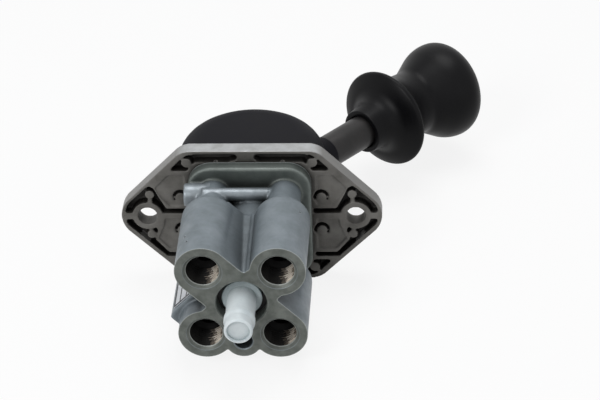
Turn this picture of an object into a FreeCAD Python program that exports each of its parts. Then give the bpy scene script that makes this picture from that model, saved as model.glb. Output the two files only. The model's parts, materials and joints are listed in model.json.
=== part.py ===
import FreeCAD, Part
import math
import os

import Sketcher

# Hand brake valve for panel mounting. Millimetres. The origin is the middle of the flange's mounting
# face, midway between the two bolt holes. +Z is up, +Y points out of the panel to the driver and the
# four ports look along -Y. At rest the lever leans from +Y towards +X.

Vector = FreeCAD.Vector
SHEET = "dim"

SIZES = [
    # flange plate
    ("bolt_spacing", 98.0), ("bolt_hole_radius", 4.5), ("bolt_corner_radius", 12.4),
    ("flange_half_height", 35.0), ("flange_thickness", 8.0), ("flange_top_corner_radius", 10.0),
    ("rim_wall", 2.6), ("web_thickness", 2.8), ("panel_depth", 2.6), ("bolt_boss_wall", 2.6),
    ("boss_ring_width", 3.2), ("rib_width", 2.0), ("pad_radius", 2.2), ("peg_radius", 2.9),
    ("peg_spread", 33.0), ("slot_width", 3.3), ("groove_width", 3.0),
    # pads, pegs and recesses behind the flange
    ("pad_rise", 0.4), ("boss_pad_z", 11.0), ("corner_pad_x", 30.0), ("corner_pad_z", 29.0),
    ("peg_above", 10.0), ("peg_below", 8.0), ("slot_start", 2.4), ("slot_end", 27.0),
    ("left_slot_end", 5.5), ("crescent_boss_from", 13.0), ("crescent_rim_from", 10.0),
    ("crescent_boss_to", 74.0), ("ring_recess_from", 106.0), ("crescent_gap", 1.2),
    ("body_recess_gap", 0.6), ("body_panel_gap", 0.8), ("low_groove_from", 14.0),
    ("low_groove_to", 24.5), ("groove_taper", 0.6), ("high_groove_from", 14.2),
    ("high_groove_to", 17.0), ("corner_recess_gap", 3.9), ("corner_recess_from", 25.6),
    ("corner_recess_to", 30.2), ("panel_margin", 1.2), ("panel_band", 2.6), ("panel_top", 23.9),
    ("panel_from", 15.8), ("panel_step_x", 38.4), ("panel_knee_x", 40.2), ("panel_knee_z", 9.4),
    ("panel_brow_x", 44.0), ("panel_brow_z", 12.4), ("low_panel_top", 0.2), ("low_panel_boss", 7.6),
    ("low_panel_waist", 7.0), ("low_panel_waist_z", 5.0), ("low_panel_knee_z", 10.6),
    ("low_panel_band", 2.2), ("low_panel_from", 14.2), ("low_panel_bottom", 19.4),
    # lever bearing on the flange
    ("pivot_height", 10.0), ("pivot_pin_radius", 4.0), ("ear_radius", 17.0), ("ear_thickness", 5.0),
    ("ear_inside", 12.8), ("bush_wall", 1.5), ("bush_collar_radius", 6.8), ("bush_collar", 0.9),
    ("running_gap", 0.04), ("clip_thickness", 0.8), ("clip_radius", 6.2), ("pin_end", 2.4),
    ("pin_chamfer", 0.5), ("clip_groove", 0.7), ("clip_mouth", 0.8),
    ("gate_radius", 19.5), ("gate_thickness", 2.4), ("gate_notch_depth", 3.4), ("gate_margin", 14.0),
    ("gate_middle_step", 6.4), ("gate_screw_radius", 1.5), ("gate_screw_brim", 1.1),
    ("gate_screw_head", 1.2), ("gate_screw_inset", 5.2), ("gate_screw_ahead", 32.0),
    ("gate_screw_behind", 6.0), ("pin_slot_gap", 0.4),
    # hood
    ("hood_beyond_base", 6.2), ("hood_half_height", 33.5), ("hood_shoulder", 13.5), ("hood_wall", 2.5),
    ("hood_slot_half_width", 11.0), ("hood_slot_margin", 18.0), ("hood_boss_radius", 3.6),
    ("hood_screw_x", 15.5), ("hood_screw_z", 25.2), ("hood_boss_height", 10.0),
    ("hood_boss_floor", 1.0), ("hood_rib", 3.0), ("sink_gap", 0.3),
    # lever
    ("lever_lean", 39.5), ("lever_swing", 72.0), ("hub_radius", 7.4), ("hub_half_width", 11.6),
    ("tube_radius", 8.2), ("tube_bore", 6.4), ("tube_start", 34.5), ("tube_end", 118.0),
    ("arm_half_thickness", 6.2), ("arm_half_width", 7.0), ("arm_boss_start", 15.0),
    ("spigot_length", 12.0), ("cuff_depth", 1.9), ("cuff_length", 17.6), ("cuff_foot_radius", 9.8),
    ("cuff_top_radius", 8.9), ("cuff_bevel", 0.9), ("cuff_gap", 1.5), ("cuff_edge", 0.1),
    ("bush_length", 8.0), ("fork_gap", 0.6), ("shutter_thickness", 0.8), ("shutter_gap", 0.3),
    ("shutter_half_width", 13.2), ("shutter_ahead", 64.0), ("shutter_behind", 72.0),
    # cam and tappet
    ("cam_reach", 16.0), ("cam_rise_per_radian", 4.5), ("cam_half_width", 4.0), ("cam_ring_radius", 9.9),
    ("cam_gap", 0.2), ("cam_lead", 4.0), ("cam_pin_radius", 1.5), ("cam_pin_reach", 13.4),
    ("cam_tail_end", 16.4), ("tappet_head_radius", 8.5), ("tappet_head", 2.2),
    ("tappet_edge", 0.4), ("tappet_stem_radius", 6.0), ("tappet_neck_step", 1.0), ("tappet_tail", 2.0),
    ("clip_proud", 0.4), ("tappet_foot_radius", 11.4), ("tappet_foot", 2.4),
    ("tappet_foot_depth", 21.2), ("tappet_guide_start", 9.6), ("tappet_guide_end", 14.8),
    ("window_gap", 0.7), ("window_ahead", 15.0), ("window_behind", 11.5),
    # grip and its lock rod
    ("grip_start", 79.5), ("grip_lip_radius", 11.2), ("grip_throat_radius", 12.4),
    ("throat_length", 8.0), ("throat_curve", 8.0), ("flare_height", 93.6), ("flare_radius", 17.6),
    ("flare_curve", 20.0), ("collar_height", 97.8), ("collar_radius", 24.7),
    ("collar_rim", 3.6), ("collar_slope", 0.6), ("neck_height", 118.1), ("neck_radius", 16.6),
    ("bulb_tilt", 9.5), ("bulb_reach", 21.5), ("bulb_radius", 25.15), ("bulb_crown", 13.5),
    ("bulb_round", 18.7), ("bulb_flare", 31.0), ("neck_round", 7.5), ("tip_round", 10.5),
    ("rod_end", 136.0), ("rod_tail", 3.2), ("grip_lift", 6.0), ("sliding_gap", 0.3),
    ("grip_bore_over", 1.0), ("rim_slack", 0.1), ("rod_radius", 2.2), ("lock_pin_radius", 2.0),
    ("lock_pin_half_length", 14.8), ("lock_gap", 0.3), ("rod_collar_radius", 5.6),
    ("rod_collar_at", 62.0), ("rod_collar", 2.0), ("guide_bush_at", 106.0), ("grip_screw_radius", 4.2),
    # valve body
    ("base_half_width", 28.7), ("base_half_height", 29.7), ("base_thickness", 6.0),
    ("base_corner_radius", 11.0), ("base_lip", 0.6), ("chamber_radius", 17.6), ("block_start", 35.2),
    ("port_face", 80.4), ("port_spacing", 33.0), ("port_boss_radius", 12.3), ("port_boss_back", 12.8),
    ("port_thread_radius", 7.19), ("port_chamfer", 1.5), ("thread_upper_left", 15.0),
    ("thread_upper_right", 14.6), ("thread_lower_left", 14.2), ("thread_lower_right", 13.8),
    ("port_drill_radius", 5.2), ("port_drill_depth", 24.0), ("boss_round", 3.5),
    ("feed_tube_radius", 7.6), ("narrow_slab", 9.6),
    ("lobe_radius", 8.1), ("lobe_drop", 20.4), ("lobe_hole_radius", 4.15),
    ("lobe_hole_depth", 14.0), ("exhaust_radius", 11.3), ("exhaust_recess", 9.5),
    ("valve_bore", 10.0), ("valve_bore_end", 52.0), ("seat_radius", 5.5), ("piston_bore", 13.0),
    ("piston_bore_end", 45.6), ("channel_height", 18.5), ("channel_depth", 19.1),
    ("channel_radius", 3.4), ("channel_stub_radius", 5.3), ("channel_end", 29.6),
    ("channel_stub_length", 12.6), ("channel_bore", 2.2), ("plug_radius", 3.9), ("plug_length", 4.0),
    ("gasket_thickness", 0.8), ("gasket_inset", 0.4), ("label_thickness", 0.5),
    ("label_x", 22.0), ("label_z", 1.5), ("label_face", 10.0), ("label_edge", 1.1),
    ("label_end", 13.0), ("label_inset", 0.7), ("parting_rib_side", 2.7), ("parting_rib", 1.0),
    ("valley_left", -2.0), ("valley_height", 16.4), ("valley_slope", 2.6), ("valley_inset", 0.4),
    ("lobe_back", 1.5), ("label_back", 3.0), ("label_rim", 1.0), ("drill_point", 0.6),
    # inner valve
    ("piston_radius", 12.92), ("piston_top", 37.0), ("piston_length", 7.0), ("piston_stem_radius", 3.6),
    ("piston_stem_end", 53.1), ("seal_section", 0.9), ("seal_groove", 1.85), ("disc_radius", 7.6),
    ("disc_length", 2.6), ("disc_stem_radius", 4.4), ("disc_stem_end", 66.4), ("disc_bore", 2.4),
    ("guide_start", 60.0), ("guide_end", 69.0), ("guide_clip_thickness", 1.0), ("clip_width", 1.6),
    ("spring_boss", 2.4), ("spring_boss_radius", 5.4), ("seal_side_gap", 0.1),
    # exhaust nozzle
    ("nozzle_disc_radius", 9.0), ("nozzle_disc", 2.9), ("nozzle_tube_radius", 6.4),
    ("nozzle_barb_radius", 6.95), ("nozzle_tip_radius", 6.3), ("nozzle_bore", 4.8),
    ("nozzle_tip", 102.0), ("nozzle_skin_at", 2.6), ("nozzle_skin", 1.0), ("nozzle_spigot", 3.6),
    ("nozzle_barb_at", 92.0), ("nozzle_barb", 2.0), ("nozzle_barb_rise", 0.6), ("nozzle_barb_fall", 1.8),
    ("nozzle_chamfer", 0.8), ("exhaust_collar", 2.5),
    # screws and springs
    ("screw_radius", 2.0), ("screw_head_radius", 3.5), ("screw_head", 2.4), ("body_screw_inset", 3.7),
    ("body_screw_inset_z", 9.3), ("body_screw_length", 12.0), ("hood_screw_length", 12.0),
    ("spring_wire", 2.0), ("spring_mean_radius", 8.6), ("lock_wire", 1.0), ("lock_mean_radius", 4.5),
    ("graduating_turns", 3.5), ("valve_turns", 2.0), ("lock_turns", 8.0), ("return_turns", 3.0),
    ("return_leg", 7.0), ("return_foot_gap", 0.3), ("return_side_gap", 0.2), ("return_pitch_gap", 0.1),
    ("valve_wire", 0.8), ("valve_mean_radius", 6.6), ("return_wire", 1.3), ("return_mean_radius", 8.4),
    # cutting tools run past a face and joined pieces into each other by these
    ("overrun", 1.0), ("root", 0.5),
]


class ValveDocument:
    """The document, its sheet of sizes and the list of finished pieces."""

    def __init__(self):
        self.doc = FreeCAD.newDocument("HandBrakeValve")
        self.sheet = self.doc.addObject("Spreadsheet::Sheet", SHEET)
        self.pieces = []
        for row, (alias, value) in enumerate(SIZES, start=1):
            self.sheet.set("A%d" % row, alias)
            self.sheet.set("B%d" % row, repr(value))
            self.sheet.setAlias("B%d" % row, alias)
        self.doc.recompute()

    def value(self, expression):
        """Number that an expression of the sheet's sizes gives."""
        if isinstance(expression, (int, float)):
            return float(expression)
        return float(self.sheet.evalExpression(tied(expression)))

    def add(self, kind, name):
        """New object of the document with its own Label."""
        made = self.doc.addObject(kind, name)
        made.Label = name
        return made

    def bind(self, target, **properties):
        """Binds properties of an object to expressions of the sheet."""
        for name, expression in properties.items():
            target.setExpression(name, tied(str(expression)))

    def keep(self, piece):
        """Notes a finished piece, which is written to its own file."""
        self.pieces.append(piece)
        return piece


def tied(expression):
    """Expression text with every size name written as a cell of the sheet."""
    words = []
    word = ""
    for letter in expression + " ":
        if letter.isalnum() or letter in "_.":
            word += letter
            continue
        words.append(SHEET + "." + word if word in NAMES else word)
        words.append(letter)
        word = ""
    return "".join(words).strip()


NAMES = {alias for alias, _ in SIZES}
model = ValveDocument()
doc = model.doc
val = model.value


def body_plane(body, role):
    """Origin plane of a body, found by its role."""
    for feature in body.Origin.OriginFeatures:
        if feature.Role == role:
            return feature
    return None


def sketch_on(body, name, plane, offset="0"):
    """Sketch on one of the body's own origin planes, moved along its normal."""
    sketch = body.newObject("Sketcher::SketchObject", name)
    sketch.AttachmentSupport = [(body_plane(body, plane), "")]
    sketch.MapMode = "FlatFace"
    model.bind(sketch, **{"AttachmentOffset.Base.z": offset})
    return sketch


def fix_point(sketch, geometry, point, x, y):
    """Ties a point of the sketch to two expressions, measured from the sketch's origin."""
    for kind, axis, expression in (("DistanceX", -2, x), ("DistanceY", -1, y)):
        if expression == "0":
            sketch.addConstraint(Sketcher.Constraint("PointOnObject", geometry, point, axis))
            continue
        number = sketch.addConstraint(
            Sketcher.Constraint(kind, -1, 1, geometry, point, val(expression)))
        sketch.setExpression("Constraints[%d]" % number, tied(expression))


def arc_between(start, end, radius, side):
    """Arc from start to end, with its centre on the left (side 1) or on the right (side -1)."""
    chord = end - start
    half = chord.Length / 2
    reach = math.sqrt(max(radius * radius - half * half, 0.0))
    left = Vector(-chord.y, chord.x, 0).normalize()
    centre = (start + end) * 0.5 + left * (reach * side)
    first, last = (start, end) if side > 0 else (end, start)
    begin = math.atan2(first.y - centre.y, first.x - centre.x)
    finish = math.atan2(last.y - centre.y, last.x - centre.x)
    circle = Part.Circle(centre, Vector(0, 0, 1), radius)
    return Part.ArcOfCircle(circle, begin, finish if finish > begin else finish + 2 * math.pi)


def outline(sketch, corners):
    """Closed outline. A corner is (x, y), or (x, y, radius, side) where an arc leads to the next one."""
    places = [Vector(val(corner[0]), val(corner[1]), 0) for corner in corners]
    ids = []
    starts = []
    for index, corner in enumerate(corners):
        here = places[index]
        there = places[(index + 1) % len(corners)]
        if len(corner) == 2:
            ids.append(sketch.addGeometry(Part.LineSegment(here, there), False))
            starts.append(1)
            continue
        arc = arc_between(here, there, val(corner[2]), corner[3])
        ids.append(sketch.addGeometry(arc, False))
        starts.append(1 if corner[3] > 0 else 2)
    for index, corner in enumerate(corners):
        after = (index + 1) % len(corners)
        sketch.addConstraint(Sketcher.Constraint(
            "Coincident", ids[index], 3 - starts[index], ids[after], starts[after]))
        fix_point(sketch, ids[index], starts[index], corner[0], corner[1])
        if len(corner) == 4:
            fix_arc(sketch, ids[index], corner, places[after] - places[index])


def fix_arc(sketch, geometry, corner, chord):
    """Ties an arc between fixed ends: its radius, or its centre where it is a half circle."""
    x, y, radius = corner[:3]
    if abs(chord.Length - 2 * val(radius)) > 1e-6:
        tie, expression = Sketcher.Constraint("Radius", geometry, val(radius)), radius
    elif abs(chord.x) > abs(chord.y):
        tie, expression = Sketcher.Constraint("DistanceY", -1, 1, geometry, 3, val(y)), y
    else:
        tie, expression = Sketcher.Constraint("DistanceX", -1, 1, geometry, 3, val(x)), x
    number = sketch.addConstraint(tie)
    sketch.setExpression("Constraints[%d]" % number, tied(expression))


def ring(sketch, x, y, radius):
    """Circle whose centre and radius are tied to expressions."""
    centre = Vector(val(x), val(y), 0)
    number = sketch.addGeometry(Part.Circle(centre, Vector(0, 0, 1), val(radius)), False)
    fix_point(sketch, number, 3, x, y)
    tie = sketch.addConstraint(Sketcher.Constraint("Radius", number, val(radius)))
    sketch.setExpression("Constraints[%d]" % tie, tied(radius))


def padded(body, sketch, length, backwards=False, midplane=False):
    """Pad of a sketch, bound to an expression."""
    pad = body.newObject("PartDesign::Pad", sketch.Name + "_pad")
    pad.Profile = sketch
    pad.Reversed = backwards
    pad.Midplane = midplane
    model.bind(pad, Length=length)
    return pad


def pocketed(body, sketch, length):
    """Pocket that cuts along the sketch's own normal."""
    pocket = body.newObject("PartDesign::Pocket", sketch.Name + "_pocket")
    pocket.Profile = sketch
    pocket.Reversed = True
    model.bind(pocket, Length=length)
    return pocket


def filleted(body, feature, radius, wanted):
    """Fillet of the feature's edges that the test picks."""
    doc.recompute()
    names = []
    for number, edge in enumerate(feature.Shape.Edges, start=1):
        if wanted(edge):
            names.append("Edge%d" % number)
    fillet = body.newObject("PartDesign::Fillet", feature.Name + "_round")
    fillet.Base = (feature, names)
    model.bind(fillet, Radius=radius)
    return fillet


def place(target, x="0", y="0", z="0", axis=None, angle="0"):
    """Binds a piece's place, and its turn about an axis, to expressions."""
    if axis is not None:
        target.Placement = FreeCAD.Placement(Vector(), FreeCAD.Rotation(axis, val(angle)))
        if angle != "0" and not isinstance(angle, (int, float)):
            model.bind(target, **{"Placement.Rotation.Angle": angle})
    model.bind(target, **{"Placement.Base.x": x, "Placement.Base.y": y, "Placement.Base.z": z})
    return target


def lathe(name, profile, plane="XY_Plane"):
    """Body turned about the sketch's upright axis, from corners of (radius, height)."""
    body = model.add("PartDesign::Body", name)
    sketch = sketch_on(body, name + "_profile", plane)
    outline(sketch, profile)
    turn = body.newObject("PartDesign::Revolution", name + "_turn")
    turn.Profile = sketch
    turn.ReferenceAxis = (sketch, ["V_Axis"])
    turn.Angle = 360
    return body


def tube_profile(outer, inner, start, end):
    """Profile of a plain tube, or of a rod where the inner radius is 0."""
    return [(inner, start), (outer, start), (outer, end), (inner, end)]


def along_lever(piece):
    """Sets a piece that was drawn along +Y on the lever's own line at rest."""
    return place(piece, y="pivot_height", axis=Vector(0, 0, -1), angle="lever_lean * 1 deg")


def bar(name, radius, start, end, x="0", z="0"):
    """Round bar along -Y, from one depth under the mounting face to another."""
    made = model.add("Part::Cylinder", name)
    model.bind(made, Radius=radius, Height="(%s) - (%s)" % (end, start))
    return place(made, x, "-(%s)" % start, z, Vector(1, 0, 0), 90)


def post(name, radius, bottom, top, x="0", y="0"):
    """Round bar along +Z."""
    made = model.add("Part::Cylinder", name)
    model.bind(made, Radius=radius, Height="(%s) - (%s)" % (top, bottom))
    return place(made, x, y, bottom)


def block(name, low, high):
    """Box between two corners of expressions."""
    made = model.add("Part::Box", name)
    spans = ["(%s) - (%s)" % (b, a) for a, b in zip(low, high)]
    model.bind(made, Length=spans[0], Width=spans[1], Height=spans[2])
    return place(made, *low)


def fused(name, shapes):
    """Union of several shapes."""
    made = model.add("Part::MultiFuse", name)
    made.Shapes = shapes
    return made


def cut(name, base, tools):
    """A shape less several others."""
    made = model.add("Part::Cut", name)
    made.Base = base
    made.Tool = tools[0] if len(tools) == 1 else fused(name + "_tools", tools)
    return made


def both_signs(pairs):
    """Every pair with its signs turned: one to each quarter."""
    return [(sx, sz, x, z) for x, z in pairs for sx in ("", "-") for sz in ("", "-")]


def signed(sign, text):
    """Expression with a sign put before it."""
    return "-(%s)" % text if sign == "-" else text


# Flange plate: a hexagon with 45 degree shoulders, ribbed and pocketed on the side behind the panel
SHOULDER = "(bolt_spacing / 2 + bolt_corner_radius * sqrt(2))"
RIM = "(bolt_spacing / 2 + (bolt_corner_radius - rim_wall) * sqrt(2))"
BOLT_X = "bolt_spacing / 2"
SHOULDER_ANGLE = 45
HOOD_RADIUS = "(base_half_width + hood_beyond_base)"
BODY_SCREW = ("(base_half_width - body_screw_inset)", "(base_half_height - body_screw_inset_z)")
THREAD_DEPTHS = {
    ("-", ""): "thread_upper_left", ("", ""): "thread_upper_right",
    ("-", "-"): "thread_lower_left", ("", "-"): "thread_lower_right"}
TOUCH = 0.1
BOSS = "(bolt_hole_radius + bolt_boss_wall)"


def polar(radius, angle, centre=BOLT_X):
    """Point on a circle about a bolt hole, as two expressions."""
    turn = "%s * 1 deg" % angle
    return ("%s + %s * cos(%s)" % (centre, radius, turn), "%s * sin(%s)" % (radius, turn))


def flange_blank():
    """The plate's outline with rounded corners."""
    body = model.add("PartDesign::Body", "flange_blank")
    sketch = sketch_on(body, "flange_outline", "XZ_Plane")
    top = "flange_half_height"
    side = "(%s - %s)" % (SHOULDER, top)
    outline(sketch, [
        (SHOULDER, "0"), (side, top), ("-" + side, top),
        ("-" + SHOULDER, "0"), ("-" + side, "-" + top), (side, "-" + top)])
    pad = padded(body, sketch, "flange_thickness")
    beside, above = val(SHOULDER + " - overrun"), val(top + " - overrun")
    ends = filleted(body, pad, "bolt_corner_radius", lambda edge: upright(edge) and edge_x(edge) > beside)
    filleted(body, ends, "flange_top_corner_radius",
             lambda edge: upright(edge) and straight(edge) and edge_z(edge) > above)
    return body


def straight(edge):
    """True for a straight edge."""
    return isinstance(edge.Curve, Part.Line)


def upright(edge):
    """True for a straight edge along Y."""
    if not straight(edge):
        return False
    return abs(edge.Curve.Direction.y) > 0.99


def edge_x(edge):
    """Distance of an edge's middle from the plane x = 0."""
    return abs(edge.CenterOfMass.x)


def edge_z(edge):
    """Distance of an edge's middle from the plane z = 0."""
    return abs(edge.CenterOfMass.z)


def on_shoulder(line, height, sign=1):
    """Point at a height on a line that runs at 45 degrees from the X axis inwards."""
    return ("%s - %s" % (line, height), "%d * %s" % (sign, height))


def crescent(sign):
    """Recess between a bolt boss and the rim, over or under the middle rib."""
    outer = "(bolt_corner_radius - rim_wall)"
    first = polar(BOSS, "%d * crescent_boss_from" % sign)
    second = polar(outer, "%d * crescent_rim_from" % sign)
    third = polar(outer, sign * SHOULDER_ANGLE)
    fourth = on_shoulder(RIM, "(bolt_corner_radius - crescent_gap)", sign)
    fifth = polar(BOSS, "%d * crescent_boss_to" % sign)
    return [first, second + (outer, sign), third, fourth, fifth + (BOSS, -sign)]


def inner_crescent():
    """Recess on the inner side of a bolt boss, run into the cross groove."""
    outer = "(%s + boss_ring_width)" % BOSS
    low = "rib_width / 2"
    high = "(rib_width / 2 + groove_width)"
    hidden = "(base_half_width + body_recess_gap)"
    return [
        polar(BOSS, "ring_recess_from"), polar(outer, "ring_recess_from") + (outer, 1),
        ("%s - sqrt(%s ^ 2 - %s ^ 2)" % (BOLT_X, outer, high), high), (hidden, high), (hidden, low),
        ("%s - sqrt(%s ^ 2 - (%s) ^ 2)" % (BOLT_X, BOSS, low), low, BOSS, -1)]


def obround(left, right, middle):
    """Slot with round ends along X."""
    r = "slot_width / 2"
    return [
        ("%s + %s" % (left, r), "%s - %s" % (middle, r)),
        ("%s - %s" % (right, r), "%s - %s" % (middle, r), r, 1),
        ("%s - %s" % (right, r), "%s + %s" % (middle, r)),
        ("%s + %s" % (left, r), "%s + %s" % (middle, r), r, 1)]


def flange_pockets(body):
    """Recesses of the ribbed side. Those of the right half are mirrored to the left."""
    deep = sketch_on(body, "deep_recesses", "XZ_Plane", "web_thickness")
    outline(deep, crescent(1))
    outline(deep, crescent(-1))
    outline(deep, inner_crescent())
    band = "(%s - groove_width * sqrt(2))" % RIM
    for sign, start, end in ((-1, "low_groove_from", "low_groove_to"),
                             (1, "high_groove_from", "high_groove_to")):
        outline(deep, [
            on_shoulder(RIM, start, sign), on_shoulder(RIM, end, sign),
            on_shoulder(band, "(%s - 2 * groove_taper)" % end, sign),
            on_shoulder(band, "(%s - groove_taper)" % start, sign)])
        corner = "(base_half_width + corner_recess_gap)"
        outline(deep, [
            (corner, "%d * corner_recess_from" % sign), on_shoulder(RIM, "corner_recess_from", sign),
            on_shoulder(RIM, "corner_recess_to", sign), (corner, "%d * corner_recess_to" % sign)])
    depth = "flange_thickness - web_thickness"
    cuts = [pocketed(body, deep, depth)]
    shallow = sketch_on(body, "panels", "XZ_Plane", "flange_thickness - panel_depth")
    hidden = "(base_half_width + body_panel_gap)"
    low = "(rib_width / 2 + groove_width + panel_margin)"
    edge = "(%s - panel_band)" % RIM
    outline(shallow, [
        (hidden, low), ("panel_step_x", low), ("panel_knee_x", "panel_knee_z"),
        ("panel_brow_x", "panel_brow_z"), on_shoulder(edge, "panel_from"),
        on_shoulder(edge, "panel_top"), (hidden, "panel_top")])
    lower = "(%s - low_panel_band)" % band
    outline(shallow, [
        (hidden, "-low_panel_top"), (BOLT_X + " - low_panel_boss", "-low_panel_top"),
        (BOLT_X + " - low_panel_waist", "-low_panel_waist_z"), ("panel_brow_x", "-low_panel_knee_z"),
        on_shoulder(lower, "low_panel_from", -1), on_shoulder(lower, "low_panel_bottom", -1),
        (hidden, "-low_panel_bottom")])
    cuts.append(pocketed(body, shallow, "panel_depth"))
    mirror = body.newObject("PartDesign::Mirrored", "left_recesses")
    mirror.Originals = cuts
    mirror.MirrorPlane = (deep, ["V_Axis"])
    body.Tip = mirror
    slots = sketch_on(body, "edge_slots", "XZ_Plane", "web_thickness")
    middle = "(flange_half_height - slot_width)"
    for sign in ("", "-"):
        outline(slots, obround("slot_start", "slot_end", sign + middle))
        outline(slots, obround("-slot_end", "-left_slot_end", sign + middle))
    body.Tip = pocketed(body, slots, depth)


def bearing_ears():
    """The two cast ears that carry the lever's pin."""
    ears = []
    for name, side in (("upper_ear", ""), ("lower_ear", "-")):
        inside = signed(side, "ear_inside")
        outside = signed(side, "(ear_inside + ear_thickness)")
        low, high = (outside, inside) if side else (inside, outside)
        ears.append(post(name + "_eye", "ear_radius", low, high, y="pivot_height"))
        ears.append(block(name + "_foot", ("-ear_radius", "-root", low),
                          ("ear_radius", "pivot_height", high)))
    return ears


def make_flange_plate():
    """Die-cast plate with its ears, bolt bosses, pads, pegs and drilled holes."""
    blank = flange_blank()
    flange_pockets(blank)
    raised = "flange_thickness + pad_rise"
    shapes = [blank] + bearing_ears()
    for sx, sz, x, z in both_signs([("(bolt_spacing / 2 - 1)", "boss_pad_z"),
                                      ("corner_pad_x", "corner_pad_z")]):
        shapes.append(bar("pad", "pad_radius", "web_thickness - root", raised, signed(sx, x), signed(sz, z)))
    for sx in ("", "-"):
        for z in ("peg_above", "-peg_below"):
            shapes.append(bar("peg", "peg_radius", "web_thickness", raised, signed(sx, "peg_spread"), z))
    holes = [
        bar("bolt_hole", "bolt_hole_radius", "-overrun", "flange_thickness + overrun", signed(sx, BOLT_X))
        for sx in ("", "-")]
    holes.append(bar("tappet_window", "tappet_head_radius + window_gap", "-overrun",
                     "flange_thickness + overrun"))
    half = "(cam_half_width + window_gap)"
    holes.append(block("cam_window", ("-window_behind", "-flange_thickness - overrun", "-" + half),
                       ("window_ahead", "overrun", half)))
    holes.append(post("pivot_hole", "pivot_pin_radius", "-ear_inside - ear_thickness - overrun",
                      "ear_inside + ear_thickness + overrun", y="pivot_height"))
    for sx, sz, x, z in both_signs([BODY_SCREW]):
        holes.append(bar("screw_hole", "screw_radius", "-overrun", "flange_thickness + overrun",
                         signed(sx, x), signed(sz, z)))
    for sx, sz, x, z in both_signs([("hood_screw_x", "hood_screw_z")]):
        holes.append(bar("hood_hole", "screw_radius", "-overrun", "flange_thickness + overrun",
                         signed(sx, x), signed(sz, z)))
        holes.append(bar("hood_sink", "screw_head_radius + sink_gap",
                         "flange_thickness - screw_head - sink_gap", "flange_thickness + overrun",
                         signed(sx, x), signed(sz, z)))
    for sz in ("", "-"):
        for angle in GATE_SCREW_ANGLES:
            x, y = gate_point(angle)
            low, high = gate_screw_span(sz)
            holes.append(post("gate_hole", "gate_screw_radius", low, high, x, y))
    return model.keep(cut("flange_plate", fused("flange_casting", shapes), holes))


GATE_SCREW_ANGLES = ("gate_screw_ahead", "-gate_screw_behind")
GATE_SCREW_REACH = "(gate_radius - gate_screw_inset)"


def gate_point(angle):
    """Place of a gate screw at an angle from +Y towards +X, about the pivot."""
    turn = "%s * 1 deg" % angle
    return ("%s * sin(%s)" % (GATE_SCREW_REACH, turn),
            "pivot_height + %s * cos(%s)" % (GATE_SCREW_REACH, turn))


def gate_screw_span(side):
    """Lower and upper end of a gate screw's shank."""
    inner = "(ear_inside - gate_thickness)"
    outer = "(ear_inside + ear_thickness - gate_screw_head)"
    if side:
        return ("-" + outer, "-" + inner)
    return (inner, outer)


def make_gates():
    """Two steel arcs inside the ears, with the notch for the parked lever."""
    parts = []
    for name, side in (("upper", ""), ("lower", "-")):
        low, high = (("-ear_inside", "gate_thickness - ear_inside") if side
                     else ("ear_inside - gate_thickness", "ear_inside"))
        sector = post(name + "_gate_sector", "gate_radius", low, high, y="pivot_height")
        model.bind(sector, Angle="(lever_swing + 2 * gate_margin) * 1 deg")
        place(sector, y="pivot_height", z=low, axis=Vector(0, 0, 1),
              angle="(90 - lever_lean - gate_margin) * 1 deg")
        middle = post(name + "_gate_middle", "ear_radius - gate_middle_step", low, high, y="pivot_height")
        notch = block(name + "_gate_notch",
                      ("-lock_pin_radius - sliding_gap", "gate_radius - gate_notch_depth", low),
                      ("lock_pin_radius + sliding_gap", "gate_radius + 2 * overrun", high))
        turned_notch = fused(name + "_gate_notch_turned", [notch, post(
            name + "_gate_notch_floor", "lock_pin_radius + sliding_gap", low, high,
            y="gate_radius - gate_notch_depth")])
        place(turned_notch, y="pivot_height", axis=Vector(0, 0, 1),
              angle="(lever_swing - lever_lean) * 1 deg")
        tools = [middle, turned_notch]
        for angle in GATE_SCREW_ANGLES:
            x, y = gate_point(angle)
            tools.append(post(name + "_gate_screw_hole", "gate_screw_radius", low, high, x, y))
        parts.append(model.keep(cut(name + "_gate_plate", sector, tools)))
    screws = []
    for side in ("", "-"):
        low, high = gate_screw_span(side)
        for angle in GATE_SCREW_ANGLES:
            x, y = gate_point(angle)
            screws.append(post("gate_screw_shank", "gate_screw_radius", low, high, x, y))
            head_low, head_high = ((high, high + " + gate_screw_head") if side
                                   else (low + " - gate_screw_head", low))
            screws.append(post("gate_screw_head", "gate_screw_radius + gate_screw_brim", head_low,
                                head_high, x, y))
    parts.append(model.keep(fused("gate_screws", screws)))
    return parts


def drum(name, radius, half, foot, shoulder):
    """Solid half drum about the lever's pivot, on straight walls, with rounded ends."""
    body = model.add("PartDesign::Body", name)
    sketch = sketch_on(body, name + "_side", "XY_Plane")
    outline(sketch, [
        ("-" + radius, foot), (radius, foot), (radius, "pivot_height", radius, 1),
        ("-" + radius, "pivot_height")])
    pad = padded(body, sketch, "2 * " + half, midplane=True)
    end = val(half)
    floor = val(foot)
    filleted(body, pad, shoulder,
             lambda edge: edge_z(edge) > end - TOUCH and edge.BoundBox.YMax > floor + TOUCH)
    return body


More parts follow.
